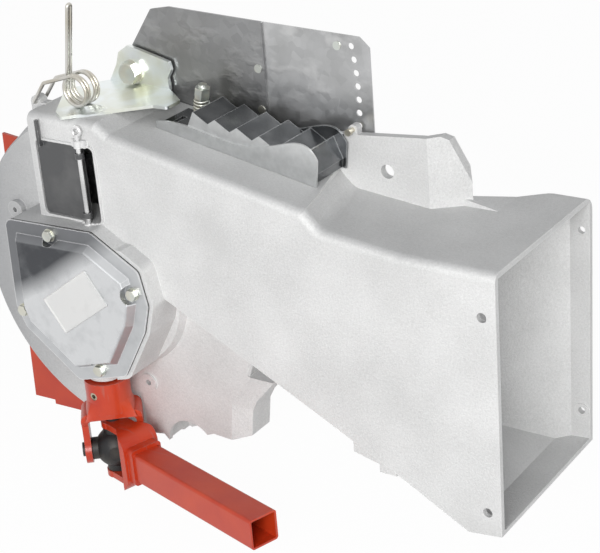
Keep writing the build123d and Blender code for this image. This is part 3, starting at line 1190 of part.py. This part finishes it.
# Write every piece
write("meter_body", meter_body())
write("suction_cover", suction_cover())
write("suction_ring", suction_ring())
write("cover_studs", *cover_studs())
write("cover_nuts", *cover_nuts())
write("side_plate", side_plate())
write("disc_shaft", disc_shaft())
write("disc_hub", disc_hub())
write("seed_disc", seed_disc())
write("disc_nut", disc_nut())
write("agitator", agitator())
write("front_bearing", ball_bearing(GEARBOX_FLOOR_Y))
write("rear_bearing", ball_bearing(RIM_BACK_Y))
write("disc_gear", disc_gear())
write("drive_pinion", drive_pinion())
write("drive_shaft", drive_shaft())
write("shaft_seal", collar_z(DRIVE_R + BORE_PLAY, NECK_LOW_Z, NECK_LOW_Z + SEAL_LENGTH))
write("drive_bush", collar_z(DRIVE_R + BORE_PLAY, NECK_LOW_Z + SEAL_LENGTH,
                             NECK_LOW_Z + SEAL_LENGTH + BUSH_LENGTH))
write("gearbox_gasket", gearbox_gasket())
write("gearbox_cover", gearbox_cover())
write("gearbox_bolts", *gearbox_bolts())
write("gearbox_washers", *gearbox_washers())
write("shaft_yoke", shaft_yoke())
write("yoke_pin", yoke_pin())
write("joint_spider", joint_spider())
write("tube_yoke", tube_yoke())
write("drive_tube", drive_tube())
write("bracket", bracket())
write("bracket_screws", *bracket_screws())
write("pivot_bolt", pivot_bolt())
write("pivot_washers", *pivot_washers())
write("pivot_nut", pivot_nut())
write("gate_plate", gate_plate())
write("index_sheet", index_sheet())
write("gate_rivets", *gate_rivets())
write("index_pin", index_pin())
write("inspection_door", inspection_door())
write("door_pin", door_pin())
write("latch_clip", latch_clip())
write("louvre_block", louvre_block())
write("block_bolt", block_bolt())
write("block_washer", block_washer())
write("block_spring", block_spring())
write("block_nut", block_nut())
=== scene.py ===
import bpy
import json
from math import pi, radians
from mathutils import Matrix, Vector


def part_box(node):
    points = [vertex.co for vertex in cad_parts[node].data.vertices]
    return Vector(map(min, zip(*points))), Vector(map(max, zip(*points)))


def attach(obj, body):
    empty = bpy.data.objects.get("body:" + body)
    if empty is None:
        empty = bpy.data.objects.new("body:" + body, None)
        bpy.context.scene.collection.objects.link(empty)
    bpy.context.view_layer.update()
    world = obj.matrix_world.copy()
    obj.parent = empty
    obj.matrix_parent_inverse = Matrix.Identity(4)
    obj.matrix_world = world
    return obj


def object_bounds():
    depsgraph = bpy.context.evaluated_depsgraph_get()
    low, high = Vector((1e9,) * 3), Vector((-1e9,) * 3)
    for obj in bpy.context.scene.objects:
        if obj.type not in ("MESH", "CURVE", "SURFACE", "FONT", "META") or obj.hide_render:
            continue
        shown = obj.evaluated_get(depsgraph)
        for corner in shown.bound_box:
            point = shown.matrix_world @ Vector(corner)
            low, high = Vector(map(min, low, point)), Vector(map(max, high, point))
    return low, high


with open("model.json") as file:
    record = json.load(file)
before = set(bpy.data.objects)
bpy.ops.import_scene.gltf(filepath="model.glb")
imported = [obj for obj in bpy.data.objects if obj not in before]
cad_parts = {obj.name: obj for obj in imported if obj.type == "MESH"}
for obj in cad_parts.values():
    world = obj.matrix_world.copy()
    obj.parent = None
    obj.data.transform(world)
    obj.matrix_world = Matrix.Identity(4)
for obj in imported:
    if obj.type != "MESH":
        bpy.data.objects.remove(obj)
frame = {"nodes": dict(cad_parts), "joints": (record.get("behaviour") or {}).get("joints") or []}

cad_low, cad_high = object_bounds()
nodes = frame["nodes"]

# Cast body
# One sand casting in aluminium silicon, grainy all over: brighter along its fettled edges, with
# painted glints in its grain, painted shade on its upper faces and a painted shadow on the drum's
# left side. All the rest is bolted to it or runs in it.
DRUM_SHADOW_FROM_X = -0.3
DRUM_SHADOW_LENGTH = 0.12


class Value:
    """A number on its way through a finish; arithmetic on it adds the Math nodes."""

    def __init__(self, finish, socket):
        self.finish = finish
        self.socket = socket

    def math(self, operation, first, second=0.0):
        return self.finish.node("ShaderNodeMath", {0: first, 1: second}, {"operation": operation})

    def __add__(self, other):
        return self.math("ADD", self, other)

    def __radd__(self, other):
        return self.math("ADD", other, self)

    def __sub__(self, other):
        return self.math("SUBTRACT", self, other)

    def __rsub__(self, other):
        return self.math("SUBTRACT", other, self)

    def __mul__(self, other):
        return self.math("MULTIPLY", self, other)

    def __rmul__(self, other):
        return self.math("MULTIPLY", other, self)

    def __truediv__(self, other):
        return self.math("DIVIDE", self, other)

    def sine(self):
        return self.math("SINE", self)

    def clamp(self):
        return self.math("MINIMUM", self.math("MAXIMUM", self, 0.0), 1.0)

    def over(self, low, high):
        """0 below low, 1 above high, and straight between them."""
        return ((self - low) / (high - low)).clamp()


class Finish:
    """One procedural material round a Principled shader, read in the piece's own coordinates."""

    def __init__(self, name, metallic=0.0, roughness=0.5, coat=0.0):
        self.material = bpy.data.materials.new(name)
        self.material.use_nodes = True
        self.tree = self.material.node_tree
        self.shader = self.tree.nodes["Principled BSDF"]
        self.place = self.node("ShaderNodeTexCoord", output="Object")
        self.feed("Metallic", metallic)
        self.feed("Roughness", roughness)
        self.feed("Coat Weight", coat)

    def node(self, kind, inputs=None, settings=None, output=0):
        """Adds one node: its settings first, then the values or links of its sockets."""
        made = self.tree.nodes.new(kind)
        for name, value in (settings or {}).items():
            setattr(made, name, value)
        for name, value in (inputs or {}).items():
            self.plug(made.inputs[name], value)
        return Value(self, made.outputs[output])

    def plug(self, socket, value):
        if isinstance(value, Value):
            self.tree.links.new(value.socket, socket)
        else:
            socket.default_value = value

    def feed(self, socket, value):
        self.plug(self.shader.inputs[socket], value)

    def noise(self, scale, detail=2.0, stretch=(1, 1, 1)):
        """Soft noise from 0 to 1; scale is about how many lumps it has in a metre."""
        place = self.node("ShaderNodeMapping", {"Vector": self.place, "Scale": stretch})
        return self.node("ShaderNodeTexNoise", {"Vector": place, "Scale": scale, "Detail": detail})

    def cells(self, scale, output="Distance"):
        return self.node("ShaderNodeTexVoronoi", {"Vector": self.place, "Scale": scale}, output=output)

    def mix(self, mask, first, second):
        """Colour from first to second as mask goes from 0 to 1."""
        return self.node("ShaderNodeMix", {0: mask, 6: first, 7: second}, {"data_type": "RGBA"}, 2)

    def bump(self, height, strength, distance):
        normal = self.node("ShaderNodeBump", {"Height": height, "Strength": strength,
                                              "Distance": distance})
        self.feed("Normal", normal)

    def edges(self, radius):
        """Mask that is 1 on outer and inner edges, found by rounding them a little."""
        rounded = self.node("ShaderNodeBevel", {"Radius": radius}, {"samples": 6})
        flat = self.node("ShaderNodeNewGeometry", output="Normal")
        aligned = self.node("ShaderNodeVectorMath", {0: rounded, 1: flat},
                            {"operation": "DOT_PRODUCT"}, "Value")
        return (1.0 - aligned).over(0.01, 0.2)

    def along(self, axis):
        """The piece's own coordinate along X, Y or Z, in metres."""
        return self.node("ShaderNodeSeparateXYZ", {"Vector": self.place}, output=axis)

    def upward(self):
        """1 where the piece's own surface faces up, 0 on its walls and -1 underneath."""
        facing = self.node("ShaderNodeTexCoord", output="Normal")
        return self.node("ShaderNodeSeparateXYZ", {"Vector": facing}, output="Z")


def rgb(red, green, blue):
    return red, green, blue, 1.0


def coat_nodes(finish, *names):
    """Gives CAD nodes this finish in all their slots."""
    for name in names:
        piece = nodes[name]
        piece.data.materials.clear()
        piece.data.materials.append(finish.material)


def sand_cast(name, light, dark):
    finish = Finish(name, metallic=0.35)
    sand = finish.noise(1000, detail=3)
    lumps = finish.noise(480, detail=4)
    clouds = finish.noise(14, detail=3)
    worn = finish.edges(0.0016)
    # Painted glints: sparse bright specks in the grain.
    painted_glints = finish.noise(1900, detail=1).over(0.58, 0.7)
    # Painted shade on the upper faces and painted shadow on the drum's left side, towards a dark grey.
    dust_and_painted_shade = finish.upward().over(0.4, 0.9)
    painted_drum_shadow = (DRUM_SHADOW_FROM_X - finish.along("X")).over(0.0, DRUM_SHADOW_LENGTH)
    painted_shade = (dust_and_painted_shade * 0.3 + painted_drum_shadow * 0.7).clamp()
    patchy = (clouds * 0.4 + lumps * 0.3 + sand * 0.3).over(0.38, 0.64)
    grain = finish.mix(patchy, rgb(*dark), rgb(*light))
    with_painted_glints = finish.mix(painted_glints * 0.4, grain, rgb(0.8, 0.8, 0.79))
    with_painted_shade = finish.mix(painted_shade, with_painted_glints, rgb(0.3, 0.305, 0.315))
    finish.feed("Base Color", finish.mix(worn * 0.45, with_painted_shade, rgb(0.84, 0.84, 0.83)))
    finish.feed("Roughness", 0.6 - worn * 0.15 + sand * 0.1)
    finish.bump(sand * 0.8 + lumps * 0.9, strength=0.6, distance=0.0007)
    return finish


coat_nodes(sand_cast("cast_body", light=(0.74, 0.74, 0.735), dark=(0.57, 0.57, 0.565)), "meter_body")

# Suction cover
# A second casting closes the far side of the disc chamber and carries the hose spigot. The
# slippery plastic ring in it is what the turning disc runs against.
coat_nodes(sand_cast("cast_cover", light=(0.66, 0.66, 0.65), dark=(0.52, 0.52, 0.51)), "suction_cover")


def plain_plastic(name, colour, roughness):
    finish = Finish(name)
    speckle = finish.noise(500, detail=2)
    smears = finish.noise(30, detail=3, stretch=(1, 3, 1))
    darker = tuple(0.8 * share for share in colour)
    finish.feed("Base Color", finish.mix(smears.over(0.4, 0.65), rgb(*colour), rgb(*darker)))
    finish.feed("Roughness", roughness + smears * 0.12)
    finish.bump(speckle, strength=0.15, distance=0.0002)
    return finish


coat_nodes(plain_plastic("wear_ring", (0.78, 0.77, 0.72), roughness=0.4), "suction_ring")

# Studs and nuts of the cover
# Six M6 studs screwed into the body's rim, with plain nuts. All small fasteners are steel with
# a thin pale yellow chromate over zinc, which turns green and dull grey in places.
M6_PITCH = 0.001
STUD_THREAD_START_Y = -0.018


def yellow_zinc(name, thread_axis=None, thread_start=0.0, pitch=M6_PITCH):
    """Plated steel; a thread runs along thread_axis from thread_start on."""
    finish = Finish(name, metallic=1.0)
    tint = finish.noise(85, detail=3).over(0.4, 0.6)
    fine = finish.noise(700, detail=2)
    dull = finish.noise(40, detail=4).over(0.48, 0.7)
    plated = finish.mix(tint, rgb(0.66, 0.65, 0.57), rgb(0.62, 0.65, 0.61))
    finish.feed("Base Color", finish.mix(dull * 0.5, plated, rgb(0.42, 0.41, 0.38)))
    finish.feed("Roughness", 0.26 + dull * 0.2 + fine * 0.08)
    height = fine * 0.15
    if thread_axis:
        along = finish.along(thread_axis)
        ridges = (along * (2 * pi / pitch)).sine()
        height = height + ridges * along.over(thread_start, thread_start + 0.0005)
    finish.bump(height, strength=0.5, distance=pitch * 0.35)
    return finish


coat_nodes(yellow_zinc("stud_zinc", "Y", STUD_THREAD_START_Y), "cover_studs")
zinc = yellow_zinc("zinc")
coat_nodes(zinc, "cover_nuts")


# Side plate
# A long red sheet clamped under two of the nuts. Laser-cut 3 mm steel with one gloss coat, faded
# in patches and rubbed through to brown-grey along its edges.
def red_gloss(name, wear=0.5):
    finish = Finish(name, coat=0.1)
    orange_peel = finish.noise(420, detail=2)
    shade = finish.noise(22, detail=4)
    worn = finish.edges(0.0011) * finish.noise(210, detail=4).over(0.42, 0.6)
    scratches = finish.noise(160, detail=2, stretch=(0.12, 1.6, 0.12)).over(0.66, 0.72)
    bare = (worn * wear + scratches * 0.3 * wear).clamp()
    red = finish.mix(shade.over(0.35, 0.7), rgb(0.45, 0.028, 0.006), rgb(0.54, 0.05, 0.011))
    finish.feed("Base Color", finish.mix(bare, red, rgb(0.26, 0.2, 0.18)))
    finish.feed("Roughness", 0.3 + bare * 0.3 + shade * 0.12)
    finish.bump(orange_peel * 0.5 - bare, strength=0.3, distance=0.0004)
    return finish


coat_nodes(red_gloss("plate_red"), "side_plate")

# Seed disc and its shaft
# The stainless disc is clamped to a turned hub by a nut and carried by a ground shaft in two
# sealed ball bearings. The star wheel on the hub is black nylon.
LATHE_RINGS = 2500.0
joint_places = {joint["name"]: joint.get("pos_m") for joint in frame["joints"]}
disc_centre = joint_places["disc_spin"]


def turned_steel(name, colour, roughness, centre=disc_centre):
    """Bright steel with the fine rings that a lathe leaves round an axis along Y."""
    finish = Finish(name, metallic=1.0)
    offset = finish.node("ShaderNodeVectorMath", {0: finish.place, 1: centre}, {"operation": "SUBTRACT"})
    across = finish.node("ShaderNodeVectorMath", {0: offset, 1: (1, 0, 1)}, {"operation": "MULTIPLY"})
    radius = finish.node("ShaderNodeVectorMath", {0: across}, {"operation": "LENGTH"}, "Value")
    lathe = finish.node("ShaderNodeTexNoise", {"W": radius * LATHE_RINGS, "Scale": 1.0},
                        {"noise_dimensions": "1D"})
    film = finish.noise(26, detail=4)
    darker = tuple(0.72 * share for share in colour)
    finish.feed("Base Color", finish.mix(film.over(0.4, 0.65), rgb(*colour), rgb(*darker)))
    finish.feed("Roughness", roughness + lathe * 0.12 + film * 0.08)
    finish.bump(lathe, strength=0.2, distance=0.0002)
    return finish


coat_nodes(turned_steel("disc_steel", (0.66, 0.66, 0.65), roughness=0.2), "seed_disc")
coat_nodes(turned_steel("hub_steel", (0.55, 0.55, 0.54), roughness=0.3), "disc_hub", "disc_shaft")
coat_nodes(zinc, "disc_nut")
coat_nodes(plain_plastic("agitator_nylon", (0.035, 0.035, 0.035), roughness=0.5), "agitator")
coat_nodes(turned_steel("bearing_steel", (0.5, 0.5, 0.5), roughness=0.2), "front_bearing", "rear_bearing")


# Bevel gears and drive shaft
# Cut from alloy steel and run in grease, so they are dark with a brown film. The shaft turns in
# a bronze bush with a rubber lip seal.
def greased_steel(name, colour):
    finish = Finish(name, metallic=0.9)
    grease = finish.noise(60, detail=4).over(0.45, 0.65)
    marks = finish.noise(900, detail=2)
    finish.feed("Base Color", finish.mix(grease * 0.7, rgb(*colour), rgb(0.12, 0.09, 0.06)))
    finish.feed("Roughness", 0.38 - grease * 0.15 + marks * 0.1)
    finish.bump(marks * 0.4 + grease * 0.6, strength=0.3, distance=0.0004)
    return finish


coat_nodes(greased_steel("gear_steel", (0.38, 0.37, 0.36)), "disc_gear", "drive_pinion")
coat_nodes(greased_steel("drive_shaft_steel", (0.5, 0.49, 0.48)), "drive_shaft")
coat_nodes(greased_steel("bush_bronze", (0.52, 0.36, 0.16)), "drive_bush")


def black_rubber(name):
    finish = Finish(name)
    bloom = finish.noise(45, detail=4)
    faded = bloom.over(0.4, 0.7)
    finish.feed("Base Color", finish.mix(faded, rgb(0.018, 0.018, 0.018), rgb(0.045, 0.044, 0.042)))
    finish.feed("Roughness", 0.55 + bloom * 0.2)
    finish.bump(finish.noise(800, detail=2), strength=0.2, distance=0.0002)
    return finish


coat_nodes(black_rubber("seal_rubber"), "shaft_seal")

# Gearbox cover
# A bright pressed sheet with a raised pan, on a black gasket, held by four M6 bolts. The pan is
# painted dark towards its upper left and bright towards its lower right as a painted reflection, and
# its pressed edges carry a painted highlight and are less smooth than its flat.
PAN_FACE_DEPTH = 0.0006
SHADE_SLOPE = 1.6
SHADE_START = -0.13
SHADE_END = -0.09
pan_face_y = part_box("gearbox_cover")[0].y

coat_nodes(black_rubber("gasket_rubber"), "gearbox_gasket")


def bright_sheet(name):
    finish = Finish(name, metallic=1.0)
    waves = finish.noise(9, detail=1)
    draw_lines = finish.noise(420, detail=2, stretch=(1, 1, 0.06))
    handling = finish.noise(60, detail=4).over(0.5, 0.8)
    face = (pan_face_y + PAN_FACE_DEPTH - finish.along("Y")).over(0.0, PAN_FACE_DEPTH)
    across = finish.along("X") - finish.along("Z") * SHADE_SLOPE
    # Painted reflection: dark towards the upper left, bright towards the lower right.
    painted_reflection_side = (across + waves * 0.04).over(SHADE_START, SHADE_END)
    flat = finish.mix(painted_reflection_side, rgb(0.08, 0.083, 0.09), rgb(0.68, 0.69, 0.7))
    flange = finish.mix(painted_reflection_side, rgb(0.2, 0.205, 0.215), rgb(0.56, 0.57, 0.58))
    # Painted highlight along the pressed edges.
    rim = finish.mix(finish.edges(0.0018), flange, rgb(0.93, 0.93, 0.94))
    sheet = finish.mix(face, rim, flat)
    finish.feed("Base Color", finish.mix(handling * 0.3, sheet, rgb(0.3, 0.31, 0.32)))
    finish.feed("Roughness", 0.36 - face * 0.2 + handling * 0.1 + draw_lines * 0.06)
    finish.bump(waves + draw_lines * 0.02, strength=0.4, distance=0.003)
    return finish


coat_nodes(bright_sheet("pressed_sheet"), "gearbox_cover")
coat_nodes(zinc, "gearbox_bolts", "gearbox_washers")

# Label
# A plain paper label, stuck askew on the flat of the pan. Its size and place were read off the
# photograph. The rounding takes all twelve edges of the thin plate, so that its rim comes out
# 2.85 mm thick, where real paper would lie flat.
LABEL_LENGTH = 0.070
LABEL_WIDTH = 0.039
LABEL_THICKNESS = 0.00015
LABEL_CORNER = 0.0015
LABEL_CORNER_STEPS = 4
LABEL_TURN = radians(-35.5)
LABEL_X = -0.2733
LABEL_Z = -0.1276


def take_finish(piece, finish, body):
    """Gives a new piece its finish and the CAD body that it moves with."""
    piece.data.materials.clear()
    piece.data.materials.append(finish.material)
    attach(piece, body)


def paper(name):
    finish = Finish(name)
    fibres = finish.noise(700, detail=3)
    scuffs = finish.noise(70, detail=4).over(0.55, 0.75)
    finish.feed("Base Color", finish.mix(scuffs * 0.4, rgb(0.66, 0.66, 0.65), rgb(0.56, 0.56, 0.55)))
    finish.feed("Roughness", 0.5 + scuffs * 0.2)
    finish.bump(fibres, strength=0.1, distance=0.0001)
    return finish


bpy.ops.object.select_all(action="DESELECT")
bpy.ops.mesh.primitive_cube_add(size=1)
label = bpy.context.object
label.name = "label"
label.scale = (LABEL_LENGTH, LABEL_THICKNESS, LABEL_WIDTH)
bpy.ops.object.transform_apply(location=False, rotation=False, scale=True)
bpy.ops.object.mode_set(mode="EDIT")
bpy.ops.mesh.select_mode(type="EDGE")
bpy.ops.mesh.bevel(offset=LABEL_CORNER, segments=LABEL_CORNER_STEPS)
bpy.ops.object.mode_set(mode="OBJECT")
label.rotation_euler = (0, LABEL_TURN, 0)
label.location = (LABEL_X, pan_face_y - LABEL_THICKNESS / 2, LABEL_Z)
bpy.ops.object.transform_apply(location=True, rotation=True, scale=True)
take_finish(label, paper("label_paper"), "housing")

# Folding joint
# Two forged forks, painted red after fitting, on a blacked steel cross. A spring pin holds the
# upper fork on the drive shaft; the lower one is welded to the square tube.
coat_nodes(red_gloss("fork_red", wear=0.8), "shaft_yoke", "tube_yoke")
coat_nodes(greased_steel("pin_steel", (0.5, 0.45, 0.34)), "yoke_pin")


def blacked_steel(name):
    finish = Finish(name, metallic=0.4)
    scale = finish.noise(55, detail=5)
    pits = finish.cells(700)
    rusty = scale.over(0.42, 0.62)
    finish.feed("Base Color", finish.mix(rusty, rgb(0.02, 0.02, 0.021), rgb(0.05, 0.045, 0.04)))
    finish.feed("Roughness", 0.4 + scale * 0.25)
    finish.bump(scale + pits * 0.3, strength=0.35, distance=0.0005)
    return finish


coat_nodes(blacked_steel("cross_black"), "joint_spider")

# Drive tube
# A square steel tube with rounded corners and a red gloss coat, pushed over the lower fork's
# stub and welded there. On the machine it slides in a larger tube.
coat_nodes(red_gloss("tube_red", wear=0.45), "drive_tube")

# Bracket and pivot bolt
# A folded sheet with the pivot's ear, zinc plated and passivated yellow-green, held by two M6
# screws from below. The gate turns on the large bolt through the ear.
PIVOT_THREAD_START_Y = 0.0135


def zinc_sheet(name, plain, tinted):
    finish = Finish(name, metallic=1.0)
    film = finish.noise(28, detail=3)
    fine = finish.noise(300, detail=3)
    finish.feed("Base Color", finish.mix(film.over(0.42, 0.62), rgb(*plain), rgb(*tinted)))
    finish.feed("Roughness", 0.2 + film * 0.16 + fine * 0.06)
    finish.bump(film * 0.4 + fine * 0.1, strength=0.3, distance=0.002)
    return finish


coat_nodes(zinc_sheet("bracket_zinc", plain=(0.82, 0.86, 0.86), tinted=(0.74, 0.76, 0.68)), "bracket")
coat_nodes(zinc, "bracket_screws", "pivot_washers", "pivot_nut")
coat_nodes(yellow_zinc("pivot_zinc", "Y", PIVOT_THREAD_START_Y), "pivot_bolt")

# Gate plate and index sheet
# Two galvanized sheets riveted into one arm. The curved strip's seven holes set how far the
# gate is open, and the small pin in the lug drops into one of them.
pin_low, pin_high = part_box("index_pin")
index_pin_centre = (pin_low + pin_high) / 2


def galvanized(name, brightness, dents):
    """Zinc-coated sheet: faint spangle, smudges and shallow dents from handling."""
    finish = Finish(name, metallic=0.9)
    spangle = finish.cells(120, output="Color")
    grey = finish.node("ShaderNodeSeparateColor", {"Color": spangle}, output="Red")
    film = finish.noise(16, detail=4)
    smudge = finish.noise(38, detail=3, stretch=(1, 1, 1.6)).over(0.52, 0.7)
    fine = finish.noise(600, detail=2)
    spangled = finish.mix(grey, rgb(0.5, 0.505, 0.51), rgb(0.6, 0.605, 0.61))
    filmed = finish.mix(film.over(0.4, 0.65) * 0.6, spangled, rgb(0.36, 0.36, 0.355))
    smudged = finish.mix(smudge * 0.5, filmed, rgb(0.74, 0.74, 0.74))
    dimmed = finish.node("ShaderNodeVectorMath", {0: smudged, "Scale": brightness},
                         {"operation": "SCALE"})
    finish.feed("Base Color", dimmed)
    finish.feed("Roughness", 0.24 + grey * 0.08 + film * 0.14)
    finish.bump(film * 0.3 + smudge * dents + fine * 0.06, strength=0.25, distance=0.002)
    return finish


pin_steel = turned_steel("index_pin_steel", (0.7, 0.66, 0.55), roughness=0.25, centre=index_pin_centre)
coat_nodes(galvanized("gate_sheet", brightness=0.54, dents=0.8), "gate_plate")
coat_nodes(galvanized("index_sheet", brightness=0.9, dents=0.2), "index_sheet")
coat_nodes(zinc, "gate_rivets")
coat_nodes(pin_steel, "index_pin")

# Inspection door
# A black plate with two knuckles on a bright rod, which opens for a look at the disc. The rod
# is drawn steel with an eye bent at its top.
door_rod_centre = (joint_places["door_swing"][0], 0, 0)


def black_paint(name, roughness, wear):
    finish = Finish(name, coat=0.2)
    peel = finish.noise(300, detail=3)
    dust = finish.noise(34, detail=5).over(0.46, 0.72)
    worn = finish.edges(0.001) * finish.noise(240, detail=3).over(0.4, 0.6) * wear
    dust_and_painted_shade = finish.mix(dust, rgb(0.06, 0.061, 0.063), rgb(0.11, 0.11, 0.11))
    finish.feed("Base Color", finish.mix(worn, dust_and_painted_shade, rgb(0.45, 0.45, 0.46)))
    finish.feed("Roughness", roughness + dust * 0.18)
    finish.bump(peel * 0.5, strength=0.3, distance=0.0005)
    return finish


rod_steel = turned_steel("rod_steel", (0.78, 0.78, 0.78), roughness=0.18, centre=door_rod_centre)
coat_nodes(black_paint("door_grey", roughness=0.42, wear=0.8), "inspection_door")
coat_nodes(rod_steel, "door_pin")

# Wire clip
# One length of 3.5 mm spring wire, bent into a hairpin handle and two coils whose ends hook
# into the ear at the end of the body.
coat_nodes(zinc_sheet("clip_zinc", plain=(0.62, 0.61, 0.58), tinted=(0.5, 0.47, 0.4)), "latch_clip")

# Stepped block
# A zinc sheet folded into ridges between two side plates, of which the near one is brushed. All that
# lies behind the near plate is painted dark as shade between the plates, save for its edges.
# An M8 bolt with a spring under its nut presses it on the sloping top, so that it swings aside.
SIDE_PLATE_THICKNESS = 0.002
BLOCK_THREAD_START_Z = 0.045
M8_PITCH = 0.00125
near_plate_back_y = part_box("louvre_block")[0].y + SIDE_PLATE_THICKNESS


def ridged_zinc(name):
    finish = Finish(name, metallic=1.0)
    brushed = finish.noise(380, detail=3, stretch=(0.5, 1, 0.5))
    film = finish.noise(45, detail=4)
    behind_plate = finish.along("Y").over(near_plate_back_y, near_plate_back_y + 0.0005)
    # Painted shade: dark behind the near plate, with the edges kept in the bright plate colour.
    between = behind_plate * (1.0 - finish.edges(0.0016))
    sheet = finish.mix(film.over(0.4, 0.65), rgb(0.12, 0.125, 0.13), rgb(0.2, 0.205, 0.21))
    plate = finish.mix(brushed.over(0.35, 0.65), rgb(0.6, 0.61, 0.61), rgb(0.66, 0.67, 0.67))
    finish.feed("Base Color", finish.mix(between, plate, sheet))
    finish.feed("Roughness", 0.3 - between * 0.12 + brushed * 0.12)
    finish.bump(brushed * 0.3 + film * 0.2, strength=0.3, distance=0.0006)
    return finish


coat_nodes(ridged_zinc("block_zinc"), "louvre_block")
coat_nodes(zinc, "block_washer", "block_nut", "block_spring")
coat_nodes(yellow_zinc("block_bolt_zinc", "Z", BLOCK_THREAD_START_Z, M8_PITCH), "block_bolt")

# Floor and light
# A pale floor under the lowest piece and a soft studio round it. What the camera and the shiny
# pieces see of the surroundings is white; the lamps and a dim room set how bright the piece is.
FLOOR_DROP = 0.0005
FLOOR_SIZE = 12
FLOOR_WHITE_SHARE = 0.97
ROOM_STRENGTH = 0.26


def seen_rays(tree, shade, white, share, output):
    """Mixes white into what the camera, mirrors and glass see, and leaves the light as it is."""
    paths = tree.nodes.new("ShaderNodeLightPath")
    seen = paths.outputs["Is Camera Ray"]
    for ray in ("Is Glossy Ray", "Is Transmission Ray"):
        either = tree.nodes.new("ShaderNodeMath")
        either.operation = "MAXIMUM"
        tree.links.new(seen, either.inputs[0])
        tree.links.new(paths.outputs[ray], either.inputs[1])
        seen = either.outputs[0]
    amount = tree.nodes.new("ShaderNodeMath")
    amount.operation = "MULTIPLY"
    amount.inputs[1].default_value = share
    tree.links.new(seen, amount.inputs[0])
    choose = tree.nodes.new("ShaderNodeMixShader")
    tree.links.new(amount.outputs[0], choose.inputs[0])
    tree.links.new(shade, choose.inputs[1])
    tree.links.new(white, choose.inputs[2])
    tree.links.new(choose.outputs[0], output)


floor_finish = Finish("floor_pale", roughness=0.9)
floor_finish.feed("Base Color", rgb(0.9, 0.9, 0.9))
glow = floor_finish.tree.nodes.new("ShaderNodeEmission")
floor_output = floor_finish.tree.nodes["Material Output"].inputs[0]
seen_rays(floor_finish.tree, floor_finish.shader.outputs[0], glow.outputs[0], FLOOR_WHITE_SHARE,
          floor_output)

bpy.ops.object.select_all(action="DESELECT")
bpy.ops.mesh.primitive_plane_add(size=FLOOR_SIZE, location=(0, 0, cad_low.z - FLOOR_DROP))
floor = bpy.context.object
floor.name = "floor"
floor.data.materials.append(floor_finish.material)

world = bpy.data.worlds.new("studio")
world.use_nodes = True
bpy.context.scene.world = world
world_tree = world.node_tree
room = world_tree.nodes["Background"]
room.inputs["Color"].default_value = rgb(0.95, 0.97, 1.0)
room.inputs["Strength"].default_value = ROOM_STRENGTH
white = world_tree.nodes.new("ShaderNodeBackground")
white.inputs["Color"].default_value = rgb(1, 1, 1)
white.inputs["Strength"].default_value = 1.0
world_output = world_tree.nodes["World Output"].inputs[0]
seen_rays(world_tree, room.outputs[0], white.outputs[0], 1.0, world_output)

middle = (cad_low + cad_high) / 2


def soft_lamp(name, place, size, power):
    """A square area lamp that points at the middle of the piece."""
    lamp = bpy.data.lights.new(name, "AREA")
    lamp.size = size
    lamp.energy = power
    holder = bpy.data.objects.new(name, lamp)
    bpy.context.scene.collection.objects.link(holder)
    holder.location = place
    aim = middle - holder.location
    holder.rotation_euler = aim.to_track_quat("-Z", "Y").to_euler()


soft_lamp("key_lamp", place=(0.85, -2.2, 0.75), size=1.2, power=53)
soft_lamp("side_lamp", place=(2.0, -0.4, 0.9), size=1.0, power=4)
soft_lamp("top_lamp", place=(-0.8, 0.4, 2.2), size=1.6, power=2)

# Camera
# It stands where the photograph was taken from, about 1.5 m away, and looks down by 25 degrees.
# Its place, lens and directions were fitted to the corners of the mouth and the duct.
SENSOR_WIDTH = 36.0
LENS_LENGTH = 98.28
NEAREST_SEEN = 0.05
CAMERA_PLACE = (0.7091, -1.1215, 0.5217)
CAMERA_FORWARD = (-0.532, 0.735, -0.421)
PICTURE_DOWN = (0.178, -0.389, -0.904)

camera_data = bpy.data.cameras.new("camera")
camera_data.sensor_width = SENSOR_WIDTH
camera_data.lens = LENS_LENGTH
camera_data.clip_start = NEAREST_SEEN
camera = bpy.data.objects.new("camera", camera_data)
bpy.context.scene.collection.objects.link(camera)
forward = Vector(CAMERA_FORWARD).normalized()
down = Vector(PICTURE_DOWN)
up = (-down - forward * forward.dot(-down)).normalized()
right = forward.cross(up)
facing = Matrix((right, up, -forward)).transposed().to_4x4()
camera.matrix_world = Matrix.Translation(CAMERA_PLACE) @ facing
bpy.context.scene.camera = camera
bpy.context.scene.view_settings.view_transform = "Standard"
